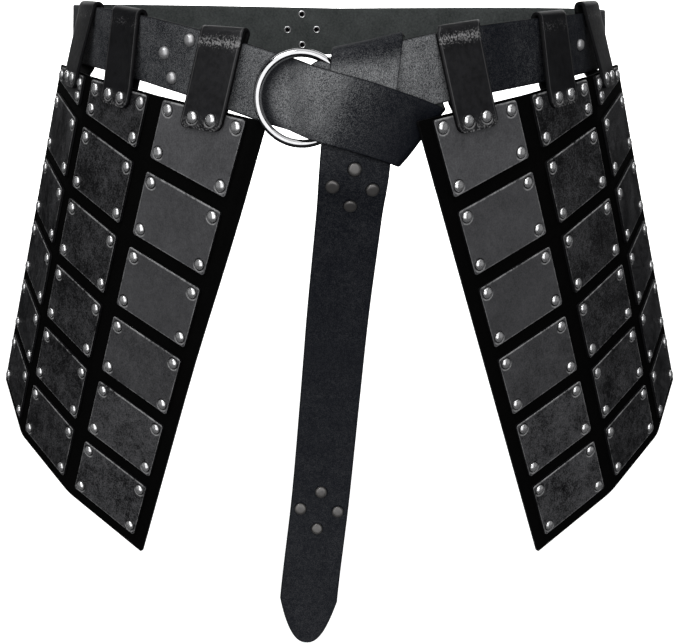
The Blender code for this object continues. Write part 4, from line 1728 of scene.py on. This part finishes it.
        fine = self.knot_facet
        places = steps(self.short_end_u, self.ring_fold_u, fine)
        short = self._belt(wall.right, places, self.stand(Lap.SHORT_END), end_width)
        places = steps(self.ring_fold_u, end, fine)
        right = self._belt(wall.right, places, self.stand(Lap.MAIN), main_width)
        right += self._belt(wall.right, steps(end, wall.half, self.facet)[1:])
        left = self._belt(wall.left, steps(-wall.half, self.band_start_u, self.facet)[1:-1])
        travel = slope_at(wall.left, self.lower_fold_u, 0.004, 0.0)
        lower = Fold(
            self, (self.lower_fold_u, wall.left(self.lower_fold_u)), travel,
            self.lower_fold_angle, self.lower_fold_reach, (Lap.BAND, Lap.RETURN),
        )
        low, high = [], []
        for u in steps(self.band_start_u, self.lower_fold_u, fine):
            share = smoothstep(u, 0.0, self.lower_fold_u)
            slope = slope_at(wall.left, u)
            lean = (slope + math.pi / 2) * (1 - share) + self.lower_fold_angle * share
            half = self.width / 2 / math.sin(lean - slope)
            low.append((u - half * math.cos(lean), wall.left(u) - half * math.sin(lean)))
            high.append((u + half * math.cos(lean), wall.left(u) + half * math.sin(lean)))
        upper = Fold(
            self, self.upper_fold_middle, 2 * self.upper_fold_angle - self.fall_travel,
            self.upper_fold_angle, self.upper_fold_reach, (Lap.RETURN, Lap.FALL),
        )
        top = self.tail_run[-1]
        reach = Vector((math.cos(self.tail_tilt), math.sin(self.tail_tilt))) * (self.width / 2)
        foot = Vector((top[2], top[0]))
        back = self._straight(
            (lower.edge(-1, 1), upper.edge(-1)), (lower.edge(1, 1), upper.edge(1)), Lap.RETURN
        )
        fall = self._straight(
            (upper.edge(-1, 1), foot - reach), (upper.edge(1, 1), foot + reach), Lap.FALL
        )
        return [
            (Stretch.SHORT_END, short + self._ring_fold()),
            (Stretch.RIGHT_BELT, right),
            (Stretch.LEFT_BELT, left),
            (Stretch.BAND, self._flat(low, high, Lap.BAND) + lower.sections()),
            (Stretch.RETURN, back),
            (Stretch.FALL, upper.sections() + fall[:-1]),
            (Stretch.TAIL, self._tail()),
        ]

    def _tone(self, stretch: Stretch, share: float) -> Flat:
        """Lightness of the two edges at a share of the way along a stretch."""
        table = dict(self.tones)[stretch]
        return max(0.0, interpolate(table, share, 1)), max(0.0, interpolate(table, share, 2))

    def _heads(self) -> tuple[list[Head], list[Head], list[Head]]:
        """Find where metal goes on the strap.

        Returns:
            Rivets of the tail, rivets of the belt, and tube ends on the belt's inner face.
        """
        tail, outer, inner = [], [], []

        def head(point: Callable[[float, float, float], Vector], u: float, z: float,
                 face: float) -> Head:
            """Find one head.

            Args:
                point: places a point of the strap.
                u: the way along it.
                z: height.
                face: 1 for the outer face and -1 for the inner.

            Returns:
                Its place and direction.
            """
            h, v = 0.001, face * self.thickness / 2
            place = point(u, z, v)
            across = (point(u + h, z, v) - place).cross(point(u, z + h, v) - place)
            return place, across.normalized() * face

        for middle, half in self.tail_groups:
            tail += [head(self.tail_at, w, middle + up, 1.0) for w, up in diamond(half)]
        for u, w in self.belt_rivets:
            line = self.wall.left if u < 0 else self.wall.right
            outer.append(head(self.wall.point, u, line(u) + w, 1.0))
        middle, height, half = self.back_group
        for along, up in diamond(half):
            outer.append(head(self.wall.point, middle + along, height + up, 1.0))
            inner.append(head(self.wall.point, middle + along, height + up, -1.0))
        return tail, outer, inner

    def _flat_rivets(self, rows: list[Row], heads: Iterable[Head]) -> list[Flat]:
        """Find rivets on the strap laid out flat.

        Args:
            rows: the strap's rows.
            heads: the rivets.

        Returns:
            The way along it and the way across from its middle, for each.
        """
        along = running([row[len(self.shares) // 2] for row in rows])
        flat = []
        for place, _ in heads:
            i = min(range(len(rows)), key=lambda j: min((p - place).length for p in rows[j]))
            row = rows[i]
            k = min(range(len(row)), key=lambda j: (row[j] - place).length)
            lengths = running(row)
            step = (row[min(len(row) - 1, k + 1)] - row[max(0, k - 1)]).normalized()
            run = (rows[min(len(rows) - 1, i + 1)][k] - rows[max(0, i - 1)][k]).normalized()
            off = place - row[k]
            flat.append((along[i] + off.dot(run), lengths[k] - lengths[-1] / 2 + off.dot(step)))
        return flat

    def build(self, finishes: Finishes, rivets: RivetShape, tubes: TubeEndShape) -> list[Object]:
        """Make the strap, its rivets and its tube ends, and dress them.

        Args:
            finishes: the materials.
            rivets: the tree that sets rivets.
            tubes: the tree that makes tube ends.

        Returns:
            The new pieces.
        """
        rows, tone = [], []
        stretches = self.stretches()
        for stretch, part in stretches:
            rows += part
            tone += [self._tone(stretch, k / (len(part) - 1)) for k in range(len(part))]
        tail, outer, inner = self._heads()
        sheet = StrapSheet(
            rows, self.thickness, doubled=len(stretches[0][1]), climb=-1,
            rivets=self._flat_rivets(rows, tail + outer),
        )
        strap = sheet.build(
            "belt_strap_leather", (finishes.strap, finishes.edge, finishes.flesh), tone=tone
        )
        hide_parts("belt_strap")
        heads = rivets.build(
            "belt_rivets", outer, self.rivet_radius, self.dome_height, finishes.satin, seed=7
        )
        caps = rivets.build(
            "tail_rivets", tail, self.rivet_radius, self.cap_height, finishes.gunmetal,
            crown=self.cap_crown, seed=8,
        )
        ends = tubes.build(
            "belt_tube_ends", inner, self.tube_radius, self.tube_roll, finishes.rivet
        )
        # black discs in the tube ends' hollows: painted shade
        hollow_shades = rivets.build(
            "belt_tube_hollows", inner, self.hollow_radius, self.hollow_height, finishes.backing
        )
        return [strap, heads, caps, ends, hollow_shades]


# ---- the ring
@dataclass
class BeltRing:
    """The steel ring, held in the fold of the right belt."""

    wall: WaistWall
    radius: float = 0.0243
    wire: float = 0.0047
    centre: Triple = (-0.0205, -0.0220, 0.0029)
    yaw: float = math.radians(10.0)
    facets: int = 128
    wire_facets: int = 24

    def build(self, finishes: Finishes) -> list[Object]:
        """Make the ring in its place and dress it.

        Args:
            finishes: the materials.

        Returns:
            The new pieces.
        """
        shape = NodeShape("ring", Radius="Float", Wire="Float")
        given = shape.given
        shape.end(shape.tube(self.facets, given["Radius"], self.wire_facets, given["Wire"]))
        sizes = {"Radius": self.radius, "Wire": self.wire / 2}
        ring = shape.run("ring_polished", bmesh.new(), Material=finishes.steel, **sizes)
        normal = self.wall.plan(self.centre[0])[1]
        facing = math.atan2(normal.y, normal.x) + self.yaw
        turn = Matrix.Rotation(facing, 4, "Z")
        turn = turn @ Matrix.Rotation(math.pi / 2 - self.wall.flare, 4, "Y")
        ring.data.transform(Matrix.Translation(self.wall.point(*self.centre)) @ turn)
        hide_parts("ring")
        return [ring]


# ---- the panels
@dataclass
class HipPanel:
    """A hip panel: its backing, three columns of six riveted plates, and the rivets' backs."""

    face: PanelFace
    front: float = -0.0150
    rear: float = 0.2185
    bottom: float = 0.2705
    backing_thickness: float = 0.0020
    backing_corner: float = 0.0012
    backing_bevel: float = 0.0004
    backing_levels: int = 12  # rows of points down its length
    corner_give: float = 0.0044  # how far the corner behind the ring is pressed in
    corner_fold: float = -0.0075
    fold_width: float = 0.0012
    columns: int = 3
    rows: int = 6
    plate_width: float = 0.0616
    plate_height: float = 0.0419
    column_pitch: float = 0.0761
    row_pitch: float = 0.0510
    plate_front: float = -0.0064
    first_bottom: float = 0.0053
    first_margin: float = 0.0012
    plate_thickness: float = 0.0018
    plate_corner: float = 0.0019
    plate_bevel: float = 0.00035
    rivet_radius: float = 0.0034
    rivet_height: float = 0.0019
    rivet_inset: float = 0.0052
    rivet_gap: float = 2.5  # the least space for two, in radii; one sits between
    back_height: float = 0.4  # of a rivet's back, of its head's
    plate_tones: tuple = (
        # tone of each row, front column first: painted light, lightest at the top of the front
        # column
        (0.37, 0.29, 0.26, 0.23, 0.19, 0.165),
        (0.094, 0.096, 0.096, 0.094, 0.092, 0.090),
        (0.092, 0.094, 0.096, 0.096, 0.094, 0.092),
    )

    @property
    def word(self) -> str:
        """The side's name."""
        return self.face.side.word

    def _give(self, s: float, t: float) -> float:
        """Press in the corner behind the ring.

        Args:
            s: the way along the panel.
            t: the way down.

        Returns:
            How far the leather lies inward there.
        """
        if self.face.side is Side.RIGHT:
            return 0.0
        above = smoothstep(self.bottom / 2 - t, 0.0, self.bottom / 2)
        return self.corner_give * above * smoothstep(-s, -self.corner_fold, -self.front)

    def _backing(self, finishes: Finishes) -> Object:
        """Make the black sheet that carries the plates.

        Args:
            finishes: the materials.

        Returns:
            The piece.
        """
        sheet = PatchSheet(
            self.face, self.front, self.rear, self.face.top, lambda s: self.bottom,
            self.backing_corner, 0.0, self.backing_thickness, self.backing_bevel,
            levels=self.backing_levels, folds=(self.corner_fold, self.fold_width), give=self._give,
        )
        backing = sheet.build(
            f"backing_{self.word}_leather", (finishes.backing, finishes.edge, finishes.dyed)
        )
        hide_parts(f"backing_{self.word}")
        return backing

    def _plate(self, column: int, row: int, finishes: Finishes) -> tuple[Object, list[Flat]]:
        """Make one plate.

        Args:
            column: its column, from the front.
            row: its row, from the top.
            finishes: the materials.

        Returns:
            The piece, and the places of its rivets on the panel.
        """
        front = self.plate_front + self.column_pitch * column
        rear = front + self.plate_width
        bottom = self.first_bottom + self.row_pitch * row

        def top(s: float) -> float:
            """Upper edge of the plate; the first row follows the panel's edge."""
            return self.face.top(s) + self.first_margin if row == 0 else bottom - self.plate_height

        spots = []
        for s in (front + self.rivet_inset, rear - self.rivet_inset):
            downs: tuple[float, ...] = (top(s) + self.rivet_inset, bottom - self.rivet_inset)
            if downs[1] - downs[0] < self.rivet_gap * self.rivet_radius:
                downs = (sum(downs) / 2,)
            spots += [(s, t) for t in downs]
        sheet = PatchSheet(
            self.face, front, rear, top, lambda s: bottom, self.plate_corner,
            self.backing_thickness + GAP, self.plate_thickness, self.plate_bevel, rivets=spots,
        )
        name = f"plate_{self.word}_{column + 1}_{row + 1}"
        plate = sheet.build(
            f"{name}_leather", (finishes.plate, finishes.edge, finishes.dyed),
            self.plate_tones[column][row],
        )
        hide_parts(name)
        return plate, spots

    def build(self, finishes: Finishes, rivets: RivetShape) -> list[Object]:
        """Make the panel and dress it.

        Args:
            finishes: the materials.
            rivets: the tree that sets rivets.

        Returns:
            The new pieces.
        """
        pieces, heads, backs = [self._backing(finishes)], [], []
        outside = self.backing_thickness + GAP + self.plate_thickness
        for column in range(self.columns):
            for row in range(self.rows):
                plate, spots = self._plate(column, row, finishes)
                pieces.append(plate)
                heads += [(self.face.point(s, t, outside), self.face.normal(s)) for s, t in spots]
                backs += [(self.face.point(s, t, 0.0), -self.face.normal(s)) for s, t in spots]
        radius, height = self.rivet_radius, self.rivet_height
        front = rivets.build(f"plate_rivets_{self.word}", heads, radius, height, finishes.rivet)
        back = rivets.build(
            f"rivet_backs_{self.word}", backs, radius, height * self.back_height, finishes.gunmetal
        )
        return [*pieces, front, back]


# ---- the hangers
class Place(Enum):
    """The three hangers of a side, from the front."""

    FRONT = auto()
    MIDDLE = auto()
    REAR = auto()


@dataclass
class Hanger:
    """A looped strap that hangs a panel from the belt, riveted through both its ends."""

    wall: WaistWall
    face: PanelFace
    place: Place
    middle: float  # its place along the panel
    drop: float  # its rivets below the panel's edge
    tab: float  # its ends below the panel's edge
    crest: float  # where along the waist it crosses the belt
    shade: float
    slant: Triple  # of the inner leg: at the crest, the belt, the panel
    cracked: float
    level: float = 0.0  # how level its crest lies, from the belt's slope to 1
    tilt: float = 0.0
    width: float = 0.0300
    thickness: float = 0.0022
    edge: float = 0.0006
    corner: float = 0.0050
    corner_facets: int = 8
    spread: float = 0.0067
    rise: float = 0.0035
    turn_facets: int = 16
    leg_facets: int = 14
    tab_facets: int = 6
    joint_facets: int = 3
    end_facets: int = 4
    fade_rows: int = 4  # rows above a tab where its wear has gone
    above: float = 0.0010
    under: float = 0.0016
    inner: float = 0.0050
    belt_width: float = 0.038
    belt_thickness: float = 0.0026
    layers: float = 0.0020 + GAP + 0.0018 + GAP
    across: int = 10
    crackled: tuple = (
        # distance past the crest, how crackled the leather is and how bright its painted highlight
        (-0.018, 0.0), (-0.0140, 0.10), (-0.0115, 0.75), (-0.0088, 1.0), (-0.0065, 0.40),
        (-0.003, 0.10), (0.004, 0.15), (0.012, 0.0),
    )

    @cached_property
    def shares(self) -> list[float]:
        """Choose the places across the strap, closer at the edges.

        Returns:
            Shares of the width, from -0.5 to 0.5.
        """
        edge = self.edge / self.width
        inner = [k / self.across - 0.5 for k in range(1, self.across)]
        return [-0.5, -0.5 + edge, *inner, 0.5 - edge, 0.5]

    def _tab_row(self, down: float, n: float, taken: float = 0.0) -> Row:
        """Lay one row on the panel.

        Args:
            down: the way down from the panel's edge.
            n: how far outward of the panel; the inner tab is slanted.
            taken: how much narrower it is at each side.

        Returns:
            The row.
        """
        row = []
        for share in self.shares:
            across = (self.width - 2 * taken) * share
            s = self.middle + across + (self.slant[2] if n < 0 else 0.0)
            row.append(self.face.point(s, self.face.top(s) + down + self.tilt * across, n))
        return row

    def _end_rows(self, n: float) -> list[Row]:
        """The rows of a rounded end, from the end up."""
        corner = round_corner(self.corner, self.corner_facets)
        return [self._tab_row(self.tab - back, n, taken) for back, taken in corner]

    def sections(self) -> tuple[list[Row], list[float], list[float]]:
        """Lay the hanger from its outer end over the belt to its inner end.

        Returns:
            Its rows, the crackle and painted highlight of each, and how far down the outer tab each
            lies.
        """
        wall, side = self.wall, self.face.side
        line = wall.line(side)
        outer_n, inner_n = self.layers + self.thickness / 2, -GAP - self.thickness / 2
        leg = self.belt_thickness / 2 + GAP + self.thickness / 2
        edge = self.face.point(self.middle, self.face.top(self.middle), 0.0)
        foot = wall.near(edge.x, edge.y)
        half = self.belt_width / 2

        def spots(z: float, rearward: float) -> list[float]:
            """Find where the hanger's lines cross a height.

            Args:
                z: the height.
                rearward: how far back they are moved.

            Returns:
                The ways along the waist.
            """
            up = (z - edge.z) / (half - edge.z)
            u = foot + (side.value * self.crest - foot) * up + side.value * rearward
            return [u + side.value * self.width * share for share in self.shares]

        def straight(first: Row, last: Row, count: int) -> list[Row]:
            """Rows between two rows, without either."""
            return [[a.lerp(b, k / count) for a, b in zip(first, last)] for k in range(1, count)]

        lift = self.rise - self.thickness / 2 - leg
        over = []
        for k in range(self.turn_facets + 1):
            turn = math.pi * k / self.turn_facets
            v, rise = leg * math.cos(turn), half + lift + leg * math.sin(turn)
            places = spots(half, self.slant[0] * k / self.turn_facets)
            highest = max(line(u) for u in places)
            over.append([
                wall.point(u, line(u) + (highest - line(u)) * self.level + rise, v) for u in places
            ])
        low = spots(line(foot) - half, self.slant[1])
        under = [wall.point(u, line(u) - half - self.under, -leg) for u in low]
        rows = self._end_rows(outer_n)
        rows += straight(rows[-1], self._tab_row(-self.above, outer_n), self.tab_facets)
        rows.append(self._tab_row(-self.above, outer_n))
        foot_rows = len(rows)
        rows += straight(rows[-1], over[0], self.leg_facets)
        crest_start = len(rows)
        rows += over
        rows += straight(over[-1], under, self.leg_facets)
        joint = self._tab_row(self.inner, inner_n)
        rows += [under, *straight(under, joint, self.joint_facets), joint]
        ends = self._end_rows(inner_n)[::-1]
        rows += straight(joint, ends[0], self.end_facets) + ends
        along = running([row[len(row) // 2] for row in rows])
        crest = along[crest_start + self.turn_facets // 2]
        bend = [self.cracked * interpolate(self.crackled, way - crest, 1) for way in along]
        low_down = [max(0.0, 1.0 - k / (foot_rows - self.fade_rows)) for k in range(len(rows))]
        return rows, bend, low_down

    def build(self, finishes: Finishes) -> tuple[Object, list[Head]]:
        """Make the hanger and dress it.

        Args:
            finishes: the materials.

        Returns:
            The piece, and its rivets' places.
        """
        rows, bend, tab = self.sections()
        heads, seats = [], []
        for across in (-self.spread, self.spread):
            s = self.middle + across
            t = self.face.top(s) + self.drop + self.tilt * across
            heads.append((self.face.point(s, t, self.layers + self.thickness), self.face.normal(s)))
            seats.append((self.tab - self.drop, across))
        sheet = StrapSheet(
            rows, self.thickness, self.edge, outward=-self.face.side.value, rivets=seats
        )
        node = f"hanger_{self.face.side.word}_{self.place.name.lower()}"
        piece = sheet.build(
            f"{node}_leather", (finishes.hanger, finishes.edge, finishes.dyed),
            bend=bend, tab=tab, shade=[self.shade] * len(rows),
        )
        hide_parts(node)
        return piece, heads


@dataclass
class HangerSet:
    """The six hangers and their rivets."""

    wall: WaistWall
    rivet_radius: float = 0.0034
    rivet_height: float = 0.0019
    level: float = 0.85  # of the left front hanger's crest
    tilt: float = 0.087  # of its tab
    pulled: float = 0.0065  # slant of the right front hanger
    raised: float = 0.0040  # how much higher the right rear hanger stands
    heads: list[Head] = field(default_factory=list)
    rows: tuple = (
        # each hanger's place, middle, drop, tab, crest, shade, slant, crackle and painted highlight
        (Place.FRONT, 0.0220, 0.0060, 0.0127, 0.0705, 1.6, (0.0, 0.0080, 0.0045), 1.0),
        (Place.MIDDLE, 0.0995, 0.0066, 0.0128, 0.1550, 0.85, (0.0, 0.0100, 0.0045), 0.4),
        (Place.REAR, 0.1695, 0.0045, 0.0113, 0.2135, 0.85, (0.0, 0.0120, 0.0060), 0.4),
    )

    def build(self, face: PanelFace, finishes: Finishes) -> list[Object]:
        """Make the hangers of one panel.

        Args:
            face: the panel's face.
            finishes: the materials.

        Returns:
            The new pieces.
        """
        pieces = []
        for row in self.rows:
            hanger = Hanger(self.wall, face, *row)
            match face.side, hanger.place:
                case Side.LEFT, Place.FRONT:
                    hanger.level, hanger.tilt = self.level, self.tilt
                case Side.RIGHT, Place.FRONT:
                    hanger.slant = (self.pulled,) * 3
                case Side.RIGHT, Place.REAR:
                    hanger.rise += self.raised
            piece, heads = hanger.build(finishes)
            pieces.append(piece)
            self.heads += heads
        return pieces

    def build_rivets(self, finishes: Finishes, rivets: RivetShape) -> Object:
        """Set the rivets of all the hangers made so far.

        Args:
            finishes: the materials.
            rivets: the tree that sets rivets.

        Returns:
            The new piece.
        """
        size = self.rivet_radius, self.rivet_height
        hanger_rivets = rivets.build("hanger_rivets", self.heads, *size, finishes.rivet, seed=5)
        return hanger_rivets


# ---- the studio
@dataclass(frozen=True)
class Lamp:
    """A soft box of the studio."""

    name: str
    place: Triple
    size: Flat
    power: float
    target: Triple = (0.0, -0.05, -0.12)
    gloss_only: bool = False  # seen in reflections alone

    def build(self) -> None:
        """Hang the lamp, out of the camera's sight."""
        lamp = bpy.data.lights.new(self.name, "AREA")
        lamp.shape = "RECTANGLE"
        lamp.size, lamp.size_y = self.size
        lamp.energy = self.power
        obj = bpy.data.objects.new(self.name, lamp)
        obj.location = self.place
        aim = Vector(self.target) - Vector(self.place)
        obj.rotation_euler = aim.to_track_quat("-Z", "Y").to_euler()
        obj.visible_camera = False
        obj.visible_diffuse = not self.gloss_only
        bpy.context.scene.collection.objects.link(obj)


@dataclass
class Studio:
    """A pale sweep, soft boxes, and the camera."""

    camera_place: Triple = (0.0, -0.627, 0.0364)
    camera_pitch: float = math.radians(21.64)
    lens: float = 45.0
    film: float = 36.0
    nearest_seen: float = 0.01
    floor_height: float = -0.50
    wall_at: float = 4.5
    wall_bend: float = 1.5
    wall_height: float = 7.0
    wall_sides: int = 64
    bend_facets: int = 12
    glow: float = 0.62  # the sweep's own light, seen only by the camera
    world_tint: tuple = (0.9, 0.95, 1.0, 1.0)
    world_light: float = 0.02
    lamps: tuple[Lamp, ...] = (
        Lamp("front", (-0.2, -2.2, 0.5), (3.6, 2.6), 48.0),
        Lamp("top", (0.0, -0.5, 2.0), (3.0, 2.0), 20.0),
        Lamp("left", (-2.3, -0.6, 0.3), (2.0, 2.0), 2.0),
        Lamp("right", (2.3, -0.6, 0.3), (2.0, 2.0), 2.0),
        Lamp("glint", (-0.9, -1.0, 1.9), (1.0, 0.6), 18.0, gloss_only=True),
        Lamp("rear_left", (-1.1, 2.4, 0.9), (1.8, 1.8), 16.0),
        Lamp("rear_right", (1.1, 2.4, 0.9), (1.8, 1.8), 16.0),
        Lamp("backdrop", (0.0, 2.6, 1.6), (5.0, 1.5), 220.0, target=(0.0, 4.0, -0.4)),
    )

    def _sweep(self) -> Object:
        """Make a round floor that bends up into a wall all the way round.

        Returns:
            The sweep.
        """
        bm = bmesh.new()
        bend = round_corner(self.wall_bend, self.bend_facets)
        profile = [(self.wall_at - taken, up) for up, taken in bend]
        profile.append((self.wall_at, self.wall_height))
        turns = [2 * math.pi * k / self.wall_sides for k in range(self.wall_sides)]
        rings = []
        for out, up in profile:
            z = self.floor_height + up
            rings.append([bm.verts.new((out * math.cos(a), out * math.sin(a), z)) for a in turns])
        bm.faces.new(rings[0])
        for low, high in zip(rings, rings[1:]):
            for k in range(self.wall_sides):
                n = (k + 1) % self.wall_sides
                face = bm.faces.new((low[k], high[k], high[n], low[n]))
                face.smooth = True
        tree = FinishTree("pale_sweep")
        tint = tree.between(tree.noise(2.0, 2.0, 0.55), (0.86, 0.86, 0.86), (0.88, 0.88, 0.88))
        glow = {"Emission_Color": (1.0, 1.0, 1.0), "Emission_Strength": self.glow}
        finish = tree.finish(Base_Color=tint, Roughness=0.9, **glow)
        return linked_mesh("sweep", bm, [finish])

    def build(self) -> None:
        """Set the sweep, the lamps, the world and the camera."""
        sweep = self._sweep()
        sweep.visible_glossy = False
        sweep.visible_diffuse = False
        sweep.visible_shadow = False
        for lamp in self.lamps:
            lamp.build()
        world = bpy.data.worlds.new("studio")
        world.use_nodes = True
        background = world.node_tree.nodes["Background"]
        background.inputs["Color"].default_value = self.world_tint
        background.inputs["Strength"].default_value = self.world_light
        bpy.context.scene.world = world
        bpy.context.scene.view_settings.view_transform = "Standard"
        camera = bpy.data.cameras.new("camera")
        camera.lens = self.lens
        camera.sensor_width = self.film
        camera.clip_start = self.nearest_seen
        obj = bpy.data.objects.new("camera", camera)
        obj.location = self.camera_place
        obj.rotation_euler = (math.pi / 2 - self.camera_pitch, 0.0, 0.0)
        bpy.context.scene.collection.objects.link(obj)
        bpy.context.scene.camera = obj


def main() -> None:
    """Build every sub-assembly in order and report its pieces."""
    logging.basicConfig(level=logging.INFO, format="%(message)s")
    finishes, wall = Finishes(), WaistWall()
    rivets, tubes = RivetShape(), TubeEndShape()
    pieces = BeltStrap(wall).build(finishes, rivets, tubes)
    pieces += BeltRing(wall).build(finishes)
    hangers = HangerSet(wall)
    for side in Side:
        face = PanelFace(side)
        pieces += HipPanel(face).build(finishes, rivets)
        pieces += hangers.build(face, finishes)
    pieces.append(hangers.build_rivets(finishes, rivets))
    for piece in pieces:
        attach(piece, BODY)
        LOG.info("%s: %d faces", piece.name, len(piece.data.polygons))
    Studio().build()


if __name__ == "__main__":
    main()
